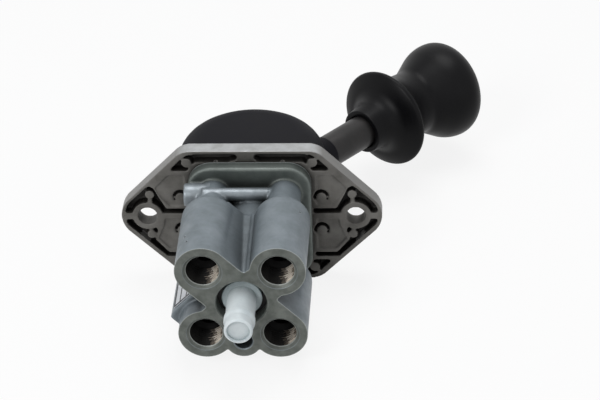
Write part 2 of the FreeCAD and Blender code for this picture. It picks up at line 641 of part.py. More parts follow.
def make_hood():
    """Black moulded hood: a half drum with a slot for the lever and ribbed screw bosses."""
    outer = drum("hood_outside", HOOD_RADIUS, "hood_half_height", "0", "hood_shoulder")
    inner = drum("hood_inside", "(%s - hood_wall)" % HOOD_RADIUS, "(hood_half_height - hood_wall)",
                 "-overrun", "(hood_shoulder - hood_wall)")
    slot = post("lever_slot", HOOD_RADIUS + " + 4 * overrun", "-hood_slot_half_width", "hood_slot_half_width")
    model.bind(slot, Angle="(lever_swing + 2 * hood_slot_margin) * 1 deg")
    place(slot, y="pivot_height", z="-hood_slot_half_width", axis=Vector(0, 0, 1),
          angle="(90 - lever_lean - hood_slot_margin) * 1 deg")
    shell = cut("hood_shell", outer, [inner, slot])
    bosses = []
    holes = []
    for sx, sz, x, z in both_signs([("hood_screw_x", "hood_screw_z")]):
        place_x, place_z = signed(sx, x), signed(sz, z)
        bosses.append(bar("hood_boss", "hood_boss_radius", "-hood_boss_height", "0", place_x, place_z))
        wall_z = signed(sz, "(hood_half_height - hood_wall / 2)")
        low, high = (wall_z, place_z) if sz else (place_z, wall_z)
        bosses.append(block("hood_boss_rib", (place_x + " - hood_rib / 2", "0", low),
                            (place_x + " + hood_rib / 2", "hood_boss_height", high)))
        holes.append(bar("hood_boss_hole", "screw_radius", "-hood_boss_height + hood_boss_floor", "overrun",
                         place_x, place_z))
    return model.keep(cut("hood", fused("hood_with_bosses", [shell] + bosses), holes))


def screw_set(name, length, head_at, xz, upwards):
    """Four screws with round heads. They point along +Y or -Y from the head's seat."""
    shapes = []
    for sx, sz, x, z in both_signs([xz]):
        place_x, place_z = signed(sx, x), signed(sz, z)
        if upwards:
            shank = (head_at + " - " + length, head_at)
            head = (head_at, head_at + " + screw_head")
        else:
            shank = (head_at, head_at + " + " + length)
            head = (head_at + " - screw_head", head_at)
        shapes.append(bar(name + "_shank", "screw_radius", shank[0], shank[1], place_x, place_z))
        shapes.append(bar(name + "_head", "screw_head_radius", head[0], head[1], place_x, place_z))
    return model.keep(fused(name, shapes))


def make_pivot():
    """The lever's pin, fixed in the ears, and the two clips in its grooves."""
    end = "(ear_inside + ear_thickness)"
    groove = "(pivot_pin_radius - clip_groove)"
    top = "(%s + clip_thickness + pin_end)" % end
    clip_top = "(%s + clip_thickness)" % end
    pin = lathe("pivot_pin", [
        ("0", "-" + top), ("pivot_pin_radius - pin_chamfer", "-" + top),
        ("pivot_pin_radius", "pin_chamfer - " + top),
        ("pivot_pin_radius", "-" + clip_top), (groove, "-" + clip_top), (groove, "-" + end),
        ("pivot_pin_radius", "-" + end), ("pivot_pin_radius", end), (groove, end), (groove, clip_top),
        ("pivot_pin_radius", clip_top), ("pivot_pin_radius", top + " - pin_chamfer"),
        ("pivot_pin_radius - pin_chamfer", top), ("0", top)], "XZ_Plane")
    model.keep(place(pin, y="pivot_height"))
    clips = []
    for side in ("", "-"):
        low, high = (("-" + clip_top, "-" + end) if side else (end, clip_top))
        disc = post("clip_disc", "clip_radius", low, high, y="pivot_height")
        eye = post("clip_eye", groove, low, high, y="pivot_height")
        mouth = block("clip_mouth", ("-" + groove + " * clip_mouth", "pivot_height - clip_radius", low),
                      (groove + " * clip_mouth", "pivot_height", high))
        clips.append(cut("clip", disc, [eye, mouth]))
    model.keep(fused("pivot_clips", clips))


def rounded_plate(name, half_x, half_z, depth, thickness, corner, holes=()):
    """Plate with four rounded corners and round holes, from a depth under the mounting face."""
    body = model.add("PartDesign::Body", name)
    sketch = sketch_on(body, name + "_outline", "XZ_Plane", depth)
    outline(sketch, [
        (half_x, half_z), ("-" + half_x, half_z), ("-" + half_x, "-" + half_z), (half_x, "-" + half_z)])
    for x, z, radius in holes:
        ring(sketch, x, z, radius)
    pad = padded(body, sketch, thickness)
    edge = val(half_x) - TOUCH
    filleted(body, pad, corner, lambda found: upright(found) and edge_x(found) > edge)
    return body


def make_valve_body():
    """Blue-grey casting: base, chamber, boss block with four ports, feed tubes and side channel."""
    top = "(flange_thickness + gasket_thickness)"
    base = rounded_plate("body_base", "base_half_width", "base_half_height", top,
                         "(base_thickness - base_lip)", "base_corner_radius")
    lip = rounded_plate("body_lip", "(base_half_width - base_lip)", "(base_half_height - base_lip)", top,
                        "base_thickness", "base_corner_radius - base_lip")
    shapes = [base, lip, bar("chamber", "chamber_radius", top, "block_start + overrun")]
    half = "port_spacing / 2"
    for sx, sz, x, z in both_signs([(half, half)]):
        boss = model.add("Part::Cone", "port_boss")
        model.bind(boss, Radius1="port_boss_back", Radius2="port_boss_radius",
                   Height="port_face - block_start")
        place(boss, signed(sx, x), "-block_start", signed(sz, z), Vector(1, 0, 0), 90)
        soft = model.add("Part::Fillet", "port_boss_rounded")
        soft.Base = boss
        doc.recompute()
        soft.Edges = [(number, val("boss_round"), val("boss_round"))
                      for number, edge in enumerate(boss.Shape.Edges, start=1)
                      if isinstance(edge.Curve, Part.Circle)
                      and abs(edge.CenterOfMass.y + val("block_start")) < TOUCH]
        shapes.append(soft)
        shapes.append(bar("feed_tube", "feed_tube_radius", top, "block_start + boss_round + root",
                          signed(sx, x), signed(sz, z)))
    shapes += [port_slab("45", "port_boss_radius"), port_slab("-45", "narrow_slab")]
    shapes.append(bar("lobe", "lobe_radius", "block_start + lobe_back", "port_face", z="-lobe_drop"))
    right = "(parting_rib_side + parting_rib)"
    shapes.append(valley_strip("valley_web", "valley_left", right + " - valley_left", "0"))
    shapes.append(valley_strip("parting_rib", "parting_rib_side", "parting_rib", "parting_rib"))
    shapes += side_channel(half)
    shapes.append(label_block())
    return model.keep(cut("valve_body", fused("body_casting", shapes), body_bores(top, half)))


def port_slab(angle, wide):
    """Diagonal slab of a half width that joins two opposite port bosses."""
    slab = model.add("PartDesign::Body", "port_slab")
    sketch = sketch_on(slab, "slab_section", "XZ_Plane")
    reach = "(port_spacing / 2 * sqrt(2))"
    outline(sketch, [
        (reach, "-" + wide), (reach, wide), ("-" + reach, wide), ("-" + reach, "-" + wide)])
    padded(slab, sketch, "port_face - block_start")
    return place(slab, y="-block_start", axis=Vector(0, 1, 0), angle=angle + " * 1 deg")


def valley_strip(name, left, wide, proud):
    """Strip along the valley between the upper bosses, lower at the port face."""
    deep = "(port_boss_radius - narrow_slab + overrun)"
    strip = model.add("Part::Box", name)
    model.bind(strip, Length=wide, Width="port_face - block_start - overrun", Height=deep + " + " + proud)
    return place(strip, left, "valley_inset - port_face", "valley_height - " + deep, Vector(1, 0, 0),
                 "valley_slope * 1 deg")


def side_channel(half):
    """Cross channel over the base with its thick stub, and the bosses where the feeds meet it."""
    shapes = []
    for name, radius, length in (
            ("channel", "channel_radius", "channel_end + %s" % half),
            ("channel_stub", "channel_stub_radius", "channel_stub_length")):
        tube = model.add("Part::Cylinder", name)
        model.bind(tube, Radius=radius, Height=length)
        shapes.append(place(tube, "-channel_end", "-channel_depth", "channel_height",
                            Vector(0, 1, 0), 90))
    return shapes


def label_block():
    """Pad beside the lower left port, whose 45 degree face carries the blank plate."""
    body = model.add("PartDesign::Body", "label_block")
    sketch = sketch_on(body, "label_block_section", "XZ_Plane", "block_start + label_back")
    corner_x, corner_z = "(label_x + label_face)", "(label_z + label_face)"
    outline(sketch, [
        ("-port_boss_radius", "0"), ("-label_x", "-label_z"), ("-" + corner_x, "-" + corner_z),
        ("-%s - label_edge" % corner_x, "-%s - 3 * label_edge" % corner_z),
        ("-%s + 3 * label_edge" % corner_x, "-port_spacing / 2 - 2.5 * label_edge"),
        ("-port_boss_radius", "-port_spacing / 2 - 2.5 * label_edge")])
    padded(body, sketch, "port_face - block_start - label_end")
    return body


def drill_point(name, radius, end_radius, depth, x, z):
    """Cone that a drill leaves at the end of a hole, from a depth towards the mounting face."""
    cone = model.add("Part::Cone", name)
    cone.Radius2 = 0
    model.bind(cone, Radius1=radius, Radius2=end_radius,
               Height="((%s) - (%s)) * drill_point" % (radius, end_radius))
    return place(cone, x, "-(%s)" % depth, z, Vector(-1, 0, 0), 90)


def body_bores(top, half):
    """Everything that is drilled or bored in the casting."""
    face = "port_face + overrun"
    tools = [
        bar("piston_bore", "piston_bore", top + " - overrun", "piston_bore_end"),
        bar("seat_bore", "seat_radius", "piston_bore_end - overrun", "valve_bore_end + overrun"),
        bar("valve_chamber", "valve_bore", "valve_bore_end", face),
        bar("clip_groove", "valve_bore + clip_groove", "guide_end", "guide_end + guide_clip_thickness"),
        bar("exhaust_bore", "exhaust_radius", "port_face - exhaust_recess", face),
        bar("lobe_hole", "lobe_hole_radius", "port_face - lobe_hole_depth", face, z="-lobe_drop"),
        drill_point("lobe_drill_point", "lobe_hole_radius", "0", "port_face - lobe_hole_depth", "0",
                    "-lobe_drop")]
    for sx, sz, x, z in both_signs([(half, half)]):
        px, pz = signed(sx, x), signed(sz, z)
        floor = "port_face - " + THREAD_DEPTHS[sx, sz]
        tools.append(bar("port_thread", "port_thread_radius", floor, face, px, pz))
        tools.append(bar("port_drill", "port_drill_radius", "port_face - port_drill_depth", face, px, pz))
        chamfer = model.add("Part::Cone", "port_mouth")
        model.bind(chamfer, Radius1="port_thread_radius", Radius2="port_thread_radius + port_chamfer + root",
                   Height="port_chamfer + root")
        tools.append(place(chamfer, px, "-port_face + port_chamfer", pz, Vector(1, 0, 0), 90))
        tools.append(drill_point("port_step", "port_thread_radius", "port_drill_radius", floor, px, pz))
    for sx in ("", "-"):
        tools.append(bar("feed_drill", "channel_bore", "channel_depth",
                         "port_face - port_drill_depth + overrun", signed(sx, half), half))
    reach = "(port_spacing / 2 * sqrt(2))"
    for name, angle in (("delivery_drill", "45"), ("supply_drill", "-45")):
        drill = model.add("Part::Cylinder", name)
        model.bind(drill, Radius="channel_bore", Height=reach)
        tools.append(place(drill, "0", "-(port_face - port_drill_depth + channel_bore - overrun)", "0",
                           Vector(0, 1, 0), angle + " * 1 deg"))
    for name, radius, length in (("channel_drill", "channel_bore", "channel_end + %s" % half),
                                 ("plug_seat", "plug_radius", "plug_length")):
        drill = model.add("Part::Cylinder", name)
        model.bind(drill, Radius=radius, Height=length)
        tools.append(place(drill, "-channel_end", "-channel_depth", "channel_height", Vector(0, 1, 0), 90))
    for sx, sz, x, z in both_signs([BODY_SCREW]):
        tools.append(bar("body_tap", "screw_radius", top + " - overrun", "body_screw_length",
                         signed(sx, x), signed(sz, z)))
    return tools


def make_body_parts():
    """Gasket, channel plug and blank plate of the casting."""
    holes = [("0", "0", "piston_bore")]
    for sx, sz, x, z in both_signs([BODY_SCREW]):
        holes.append((signed(sx, x), signed(sz, z), "screw_radius"))
    model.keep(rounded_plate(
        "body_gasket", "(base_half_width - gasket_inset)", "(base_half_height - gasket_inset)",
        "flange_thickness", "gasket_thickness", "base_corner_radius - gasket_inset", holes))
    plug = model.add("Part::Cylinder", "channel_plug")
    model.bind(plug, Radius="plug_radius", Height="plug_length")
    model.keep(place(plug, "-channel_end", "-channel_depth", "channel_height", Vector(0, 1, 0), 90))
    label = model.add("Part::Box", "blank_plate")
    model.bind(label, Length="(label_face - 2 * label_inset) * sqrt(2)",
               Width="port_face - block_start - label_end - 4 * label_rim", Height="label_thickness")
    low = "%s + label_face - label_inset"
    model.keep(place(label, "-(%s)" % (low % "label_x"), "-(port_face - label_end + label_rim)",
                     "-(%s)" % (low % "label_z"), Vector(0, 1, 0), -45))


def make_inner_valve():
    """Piston, double valve, its guide, the seals and clips."""
    top, end = "-piston_top", "(-piston_top - piston_length)"
    middle = "(-piston_top - piston_length / 2)"
    half = "(seal_section + seal_side_gap)"
    groove = "(piston_radius - seal_groove)"
    piston = lathe("graduating_piston", [
        ("0", top + " - spring_boss"), ("spring_boss_radius", top + " - spring_boss"),
        ("spring_boss_radius", top), ("piston_radius", top),
        ("piston_radius", middle + " + " + half), (groove, middle + " + " + half),
        (groove, middle + " - " + half), ("piston_radius", middle + " - " + half),
        ("piston_radius", end), ("piston_stem_radius", end), ("piston_stem_radius", "-piston_stem_end"),
        ("0", "-piston_stem_end")])
    model.keep(piston)
    seal("piston_seal", "(piston_bore - running_gap - seal_section)", middle)
    disc_top = "(-piston_stem_end - cam_gap)"
    disc_end = "(-piston_stem_end - cam_gap - disc_length)"
    disc = lathe("inlet_valve", [
        ("disc_bore", disc_top), ("disc_radius", disc_top), ("disc_radius", disc_end),
        ("disc_stem_radius", disc_end), ("disc_stem_radius", "-disc_stem_end"),
        ("disc_bore", "-disc_stem_end")])
    model.keep(disc)
    guide_middle = "(-(guide_start + guide_end) / 2)"
    notch = "(valve_bore - seal_groove)"
    guide = lathe("valve_guide", [
        ("disc_stem_radius + running_gap", "-guide_start"), ("valve_bore", "-guide_start"),
        ("valve_bore", guide_middle + " + " + half), (notch, guide_middle + " + " + half),
        (notch, guide_middle + " - " + half), ("valve_bore", guide_middle + " - " + half),
        ("valve_bore", "-guide_end"), ("disc_stem_radius + running_gap", "-guide_end")])
    model.keep(guide)
    seal("guide_seal", "(valve_bore - seal_section)", guide_middle)
    clip = lathe("guide_clip", tube_profile("valve_bore + clip_groove", "valve_bore - clip_width",
                                            "-guide_end", "-guide_end - guide_clip_thickness"))
    model.keep(clip)


def seal(name, radius, height):
    """Rubber ring round the Y axis."""
    made = model.add("Part::Torus", name)
    model.bind(made, Radius1=radius, Radius2="seal_section")
    return model.keep(place(made, "0", height, "0", Vector(1, 0, 0), 90))


def make_exhaust():
    """Steel collar in the exhaust bore and the translucent hose nozzle that it holds."""
    floor = "(port_face - exhaust_recess)"
    seat = "(%s + exhaust_collar)" % floor
    collar = lathe("exhaust_collar", tube_profile("exhaust_radius", "nozzle_tube_radius + seal_side_gap",
                                                  "-" + floor, "-" + seat))
    model.keep(collar)
    barb = "nozzle_barb_at"
    inner_skin = "-nozzle_tip + nozzle_skin_at + nozzle_skin"
    nozzle = lathe("exhaust_nozzle", [
        ("nozzle_bore", "-%s + nozzle_spigot" % seat), ("nozzle_tube_radius", "-%s + nozzle_spigot" % seat),
        ("nozzle_tube_radius", "-" + seat), ("nozzle_disc_radius", "-" + seat),
        ("nozzle_disc_radius", "-%s - nozzle_disc" % seat),
        ("nozzle_tube_radius", "-%s - nozzle_disc" % seat), ("nozzle_tube_radius", "-" + barb),
        ("nozzle_barb_radius", "-%s - nozzle_barb_rise" % barb),
        ("nozzle_barb_radius", "-%s - nozzle_barb_rise - nozzle_barb" % barb),
        ("nozzle_tip_radius", "-%s - nozzle_barb_rise - nozzle_barb - nozzle_barb_fall" % barb),
        ("nozzle_tip_radius", "-nozzle_tip + nozzle_chamfer"),
        ("nozzle_tip_radius - nozzle_chamfer", "-nozzle_tip"),
        ("nozzle_bore", "-nozzle_tip"), ("nozzle_bore", "-nozzle_tip + nozzle_skin_at"),
        ("0", "-nozzle_tip + nozzle_skin_at"), ("0", inner_skin), ("nozzle_bore", inner_skin)])
    model.keep(nozzle)


def make_tappet():
    """Flat-faced tappet, the seat that it carries for the spring and the seat's clip."""
    top = "(pivot_height - cam_reach - cam_gap)"
    neck = "(tappet_stem_radius - tappet_neck_step)"
    floor = "(%s - clip_groove)" % neck
    seat_end = "(-tappet_foot_depth - tappet_foot)"
    tail = "(%s - tappet_tail)" % seat_end
    guide = lathe("tappet_guide", tube_profile("piston_bore", "tappet_stem_radius + running_gap",
                                               "-tappet_guide_start", "-tappet_guide_end"))
    model.keep(guide)
    tappet = lathe("tappet", [
        ("0", top), ("tappet_head_radius - tappet_edge", top),
        ("tappet_head_radius", top + " - tappet_edge"),
        ("tappet_head_radius", top + " - tappet_head"), ("tappet_stem_radius", top + " - tappet_head"),
        ("tappet_stem_radius", "-tappet_foot_depth"), (neck, "-tappet_foot_depth"), (neck, seat_end),
        (floor, seat_end), (floor, seat_end + " - clip_thickness"),
        (neck, seat_end + " - clip_thickness"), (neck, tail), ("0", tail)])
    model.keep(tappet)
    seat = lathe("spring_seat", [
        (neck, "-tappet_foot_depth"), ("tappet_foot_radius", "-tappet_foot_depth"),
        ("tappet_foot_radius", seat_end), (neck, seat_end)])
    model.keep(seat)
    clip = lathe("seat_clip", tube_profile("tappet_stem_radius + clip_proud", floor, seat_end,
                                           seat_end + " - clip_thickness"))
    model.keep(clip)


def cam_outline():
    """Edge of the cam, as an involute: its reach falls evenly as the lever swings."""
    centre = Vector(0, val("pivot_height"), 0)
    rise = val("cam_rise_per_radian")
    swing = math.radians(val("lever_swing"))
    lead = math.radians(val("cam_lead"))
    steps = 12
    points = []
    for step in range(steps + 1):
        turn = -lead + (swing + 2 * lead) * step / steps
        reach = val("cam_reach") - rise * turn
        normal = Vector(-math.sin(turn), -math.cos(turn), 0)
        tangent = Vector(math.cos(turn), -math.sin(turn), 0)
        points.append(centre + normal * reach + tangent * rise)
    return centre, points


def make_cam():
    """Steel cam on the hub, with a tail that a dowel holds in the lever's fork."""
    centre, points = cam_outline()
    curve = Part.BSplineCurve()
    curve.interpolate(points)
    low = Vector(0, 0, -val("cam_half_width"))
    edges = [curve.toShape(), Part.LineSegment(points[-1], centre).toShape(),
             Part.LineSegment(centre, points[0]).toShape()]
    height = Vector(0, 0, 2 * val("cam_half_width"))
    lobe = Part.Face(Part.Wire(edges)).extrude(height)
    lobe.translate(low)
    lean = math.radians(val("lever_lean"))
    along = Vector(math.sin(lean), math.cos(lean), 0)
    across = Vector(math.cos(lean), -math.sin(lean), 0)
    half = val("cam_pin_radius") * 2
    end = val("cam_tail_end")
    corners = [centre - across * half, centre + across * half,
               centre + across * half + along * end, centre - across * half + along * end]
    tail = Part.Face(Part.makePolygon(corners + corners[:1])).extrude(height)
    tail.translate(low)
    disc = Part.makeCylinder(val("cam_ring_radius"), height.z, centre + low, Vector(0, 0, 1))
    bore = Part.makeCylinder(val("hub_radius"), height.z, centre + low, Vector(0, 0, 1))
    dowel = Part.makeCylinder(val("cam_pin_radius"), height.z,
                              centre + low + along * val("cam_pin_reach"), Vector(0, 0, 1))
    cam = model.add("Part::Feature", "cam")
    cam.Shape = lobe.fuse([tail, disc]).cut(bore.fuse(dowel)).removeSplitter()
    model.keep(cam)
    pin = post("cam_dowel", "cam_pin_radius", "-arm_half_thickness", "arm_half_thickness",
               "cam_pin_reach * sin(lever_lean * 1 deg)",
               "pivot_height + cam_pin_reach * cos(lever_lean * 1 deg)")
    model.keep(pin)


def make_lever():
    """Forked hub with its bushes, the steel tube, the cuff and the dust shutter."""
    barrel = post("hub_barrel", "hub_radius", "-hub_half_width", "hub_half_width")
    arm = block("hub_arm", ("-arm_half_width", "0", "-arm_half_thickness"),
                ("arm_half_width", "arm_boss_start + 3 * overrun", "arm_half_thickness"))
    boss = lathe("hub_boss", [
        ("0", "arm_boss_start"), ("tube_radius", "arm_boss_start"), ("tube_radius", "tube_start"),
        ("tube_bore", "tube_start"), ("tube_bore", "tube_start + spigot_length"),
        ("0", "tube_start + spigot_length")])
    fork = post("hub_fork_gap", "cam_tail_end + fork_gap", "-cam_half_width", "cam_half_width")
    solid = cut("hub_forked", fused("hub_blank", [arm, boss]), [fork])
    whole = fused("hub_whole", [solid, barrel])
    pin_slot = block("lock_pin_slot",
                     ("-lock_pin_radius - sliding_gap", "gate_radius - pin_slot_gap",
                      "-tube_radius - overrun"),
                     ("lock_pin_radius + sliding_gap",
                      "gate_radius + lock_gap + 2 * lock_pin_radius + grip_lift + root",
                      "tube_radius + overrun"))
    rod_way = lathe("rod_way", tube_profile("rod_radius + sliding_gap", "0", "cam_tail_end + 2 * overrun",
                                            "tube_start + spigot_length + overrun"))
    bush_bore = post("bush_bore", "pivot_pin_radius + running_gap + bush_wall", "-hub_half_width - overrun",
                     "hub_half_width + overrun")
    dowel = post("dowel_bore", "cam_pin_radius", "-arm_half_thickness - overrun",
                 "arm_half_thickness + overrun",
                 y="cam_pin_reach")
    model.keep(along_lever(cut("lever_hub", whole, [pin_slot, rod_way, bush_bore, dowel])))
    bushes = []
    outer = "(pivot_pin_radius + running_gap + bush_wall)"
    inner = "(pivot_pin_radius + running_gap)"
    for side in ("", "-"):
        ends = ("hub_half_width + bush_collar", "hub_half_width", "hub_half_width - bush_length")
        high, face, low = (signed(side, end) for end in ends)
        bushes.append(lathe("bush" + ("_lower" if side else "_upper"), [
            (inner, low), (outer, low), (outer, face), ("bush_collar_radius", face),
            ("bush_collar_radius", high), (inner, high)], "XZ_Plane"))
    model.keep(place(fused("pivot_bushes", bushes), y="pivot_height"))
    tube = lathe("lever_tube", tube_profile("tube_radius", "tube_bore", "tube_start", "tube_end"))
    model.keep(along_lever(tube))
    start = "(%s - cuff_depth)" % HOOD_RADIUS
    end = "(%s + cuff_length)" % HOOD_RADIUS
    cuff = lathe("lever_cuff", [
        ("tube_radius", start), ("cuff_foot_radius", start),
        ("cuff_foot_radius", HOOD_RADIUS + " + cuff_gap"), ("cuff_top_radius", end + " - cuff_bevel"),
        ("tube_radius + cuff_edge", end), ("tube_radius", end)])
    model.keep(along_lever(cuff))
    make_shutter()


def make_shutter():
    """Thin arc that moves with the lever and keeps the hood's slot covered."""
    low, high = "-shutter_half_width", "shutter_half_width"
    outer = "(%s - hood_wall - shutter_gap)" % HOOD_RADIUS
    arc = post("shutter_outside", outer, low, high)
    model.bind(arc, Angle="(shutter_ahead + shutter_behind) * 1 deg")
    place(arc, z=low, axis=Vector(0, 0, 1), angle="(90 - shutter_ahead) * 1 deg")
    inside = post("shutter_inside", outer + " - shutter_thickness", low + " - overrun", high + " + overrun")
    eye = lathe("shutter_eye", tube_profile("tube_radius", "0", HOOD_RADIUS + " / 2",
                                            HOOD_RADIUS + " + overrun"))
    model.keep(along_lever(cut("dust_shutter", arc, [inside, eye])))


def tangent_radius(across, along):
    """Radius of an arc that leaves a line smoothly and ends so far across and along it."""
    return "((%s ^ 2 + %s ^ 2) / (2 * %s))" % (across, along, across)


def grip_bulb():
    """Pear-shaped end of the grip, turned about its own axis, which leans more than the lever's."""
    flare = "bulb_flare * 1 deg"
    tip = "bulb_crown"
    side = "(bulb_radius - tip_round)"
    dome = "((%s ^ 2 + %s ^ 2 - tip_round ^ 2) / (2 * (%s - tip_round)))" % (side, tip, tip)
    share = "(tip_round / (%s - tip_round))" % dome
    bulb = lathe("grip_bulb", [
        ("0", "0"), ("neck_radius", "0", "neck_round", -1),
        ("neck_radius + neck_round * (1 - cos(%s))" % flare, "neck_round * sin(%s)" % flare),
        ("bulb_radius - bulb_round * (1 - cos(%s))" % flare, "bulb_reach - bulb_round * sin(%s)" % flare,
         "bulb_round", 1),
        ("bulb_radius", "bulb_reach", "tip_round", 1),
        ("%s * (1 + %s)" % (side, share), "bulb_reach + (%s - %s) * %s" % (dome, tip, share), dome, 1),
        ("0", "bulb_reach + bulb_crown")])
    return place(bulb, y="neck_height", axis=Vector(0, 0, -1), angle="bulb_tilt * 1 deg")


def make_grip():
    """Black grip with collar and bulb, sliding on the tube, with its lock rod, pin and guide bush."""
    bore_end = "(tube_end + grip_bore_over)"
    rim_low = "(collar_height - collar_rim / 2)"
    rim_high = "(collar_height + collar_rim / 2)"
    rim = "(collar_radius - 2 * collar_slope)"
    neck_curve = tangent_radius("(%s - neck_radius)" % rim, "(neck_height - %s)" % rim_high)
    sleeve = lathe("grip_sleeve", [
        ("0", "grip_start"), ("grip_lip_radius", "grip_start"),
        ("grip_throat_radius", "grip_start + throat_length", "throat_curve", -1),
        ("flare_radius", "flare_height", "flare_curve", 1),
        ("collar_radius - collar_slope", rim_low, "collar_rim / 2 + rim_slack", 1),
        (rim, rim_high, neck_curve, -1), ("neck_radius", "neck_height"), ("0", "neck_height")])
    joint = model.add("Part::Sphere", "grip_neck")
    model.bind(joint, Radius="neck_radius")
    place(joint, y="neck_height")
    drill = lathe("grip_bore", [
        ("0", "grip_start - overrun"), ("tube_radius + sliding_gap", "grip_start - overrun"),
        ("tube_radius + sliding_gap", bore_end), ("grip_screw_radius", bore_end),
        ("grip_screw_radius", "rod_end"), ("0", "rod_end")])
    model.keep(along_lever(cut("grip", fused("grip_blank", [sleeve, joint, grip_bulb()]), [drill])))
    pin_at = "(gate_radius + lock_gap + lock_pin_radius)"
    collar = "rod_collar_at"
    rod = lathe("pull_rod_blank", [
        ("0", pin_at + " - rod_tail"), ("rod_radius", pin_at + " - rod_tail"), ("rod_radius", collar),
        ("rod_collar_radius", collar), ("rod_collar_radius", collar + " + rod_collar"),
        ("rod_radius", collar + " + rod_collar"),
        ("rod_radius", bore_end), ("grip_screw_radius", bore_end),
        ("grip_screw_radius", "rod_end"), ("0", "rod_end")])
    cross = post("lock_pin_way", "lock_pin_radius", "-lock_pin_half_length", "lock_pin_half_length",
                 y=pin_at)
    model.keep(along_lever(cut("pull_rod", rod, [cross])))
    pin = post("lock_pin", "lock_pin_radius", "-lock_pin_half_length", "lock_pin_half_length",
               pin_at + " * sin(lever_lean * 1 deg)", "pivot_height + %s * cos(lever_lean * 1 deg)" % pin_at)
    model.keep(pin)
    bush = lathe("rod_guide", tube_profile("tube_bore", "rod_radius + running_gap", "guide_bush_at",
                                           "tube_end"))
    model.keep(along_lever(bush))


def coil(name, wire, radius, length, turns):
    """Coil spring along +Z between two seats, as one swept solid."""
    thickness = val(wire)
    gap = val("cam_gap") / 2
    rise = val(length) - thickness - 4 * gap
    helix = Part.makeHelix(rise / val(turns), rise, val(radius))
    start = Vector(val(radius), 0, 0)
    circle = Part.Wire([Part.makeCircle(thickness / 2, start, Vector(0, 1, 0))])
    solid = Part.Wire(helix.Edges).makePipeShell([circle], True, True)
    spring = model.add("Part::Feature", name)
    spring.Shape = solid
    return spring, thickness / 2 + 2 * gap


def make_springs():
    """Graduating, valve, lock and lever return springs."""
    seat_end = "(tappet_foot_depth + tappet_foot)"
    down = FreeCAD.Rotation(Vector(1, 0, 0), 90)
    graduating, offset = coil("graduating_spring", "spring_wire", "spring_mean_radius",
                              "piston_top - " + seat_end, "graduating_turns")
    graduating.Placement = FreeCAD.Placement(Vector(0, -val(seat_end) - offset, 0), down)
    model.keep(graduating)
    disc_end = "(piston_stem_end + cam_gap + disc_length)"
    valve, offset = coil("valve_spring", "valve_wire", "valve_mean_radius",
                         "guide_start - " + disc_end, "valve_turns")
    valve.Placement = FreeCAD.Placement(Vector(0, -val(disc_end) - offset, 0), down)
    model.keep(valve)
    lock, offset = coil("lock_spring", "lock_wire", "lock_mean_radius",
                        "guide_bush_at - rod_collar_at - rod_collar", "lock_turns")
    lean = FreeCAD.Rotation(Vector(0, 0, -1), val("lever_lean"))
    outwards = lean.multiply(FreeCAD.Rotation(Vector(1, 0, 0), -90))
    reach = val("rod_collar_at + rod_collar") + offset
    start = lean.multVec(Vector(0, reach, 0)) + Vector(0, val("pivot_height"), 0)
    lock.Placement = FreeCAD.Placement(start, outwards)
    model.keep(lock)
    make_return_spring()


def make_return_spring():
    """Torsion spring round the hub, one leg on the lever's arm and one on the flange."""
    wire = val("return_wire")
    radius = val("return_mean_radius")
    turns = val("return_turns")
    rise = turns * (wire + val("return_pitch_gap"))
    helix = Part.makeHelix(rise / turns, rise, radius)
    circle = Part.Wire([Part.makeCircle(wire / 2, Vector(radius, 0, 0), Vector(0, 1, 0))])
    winding = Part.Wire(helix.Edges).makePipeShell([circle], True, True)
    foot = val("pivot_height - return_foot_gap")
    legs = [
        Part.makeCylinder(wire / 2, foot, Vector(radius, 0, 0), Vector(0, -1, 0)),
        Part.makeCylinder(wire / 2, val("return_leg"), Vector(radius, 0, rise), Vector(0, 1, 0))]
    spring = model.add("Part::Feature", "return_spring")
    spring.Shape = winding.fuse(legs)
    low = -val("arm_half_thickness") - wire / 2 - val("return_side_gap") - rise
    spring.Placement = FreeCAD.Placement(Vector(0, val("pivot_height"), low), FreeCAD.Rotation())
    model.keep(spring)


def check_pieces():
    """Stops with a message where an object failed or a piece is no sound solid."""
    for made in doc.Objects:
        for state in made.State:
            if state in ("Invalid", "Error"):
                raise RuntimeError("%s is %s" % (made.Name, state))
    for piece in model.pieces:
        shape = piece.Shape
        if shape.isNull() or not shape.isValid() or not shape.Solids:
            raise RuntimeError("%s has no sound solid" % piece.Label)


def main():
    """Builds every piece, checks it and writes it to its own file."""
    make_flange_plate()
    make_gates()
    make_hood()
    screw_set("hood_screws", "hood_screw_length", "(flange_thickness - screw_head)",
              ("hood_screw_x", "hood_screw_z"), True)
    screw_set("body_screws", "body_screw_length", "0", BODY_SCREW, False)
    make_pivot()
    make_valve_body()
    make_body_parts()
    make_inner_valve()
    make_exhaust()
    make_tappet()
    make_cam()
    make_lever()
    make_grip()
    make_springs()
    doc.recompute()
    check_pieces()
    os.makedirs("parts", exist_ok=True)
    for piece in model.pieces:
        name = piece.Label
        piece.Shape.exportStep("parts/%s.step" % name)
        print("%-18s %2d solids %10.1f mm3" % (name, len(piece.Shape.Solids), piece.Shape.Volume))


main()
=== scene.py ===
"""Looks of a hand brake valve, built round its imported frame: pieces, finishes, light and camera."""

from __future__ import annotations

import json
import logging
import math
from dataclasses import dataclass
from enum import Enum
from typing import Callable, Iterable, Sequence

import bmesh
import bpy
from mathutils import Matrix, Vector


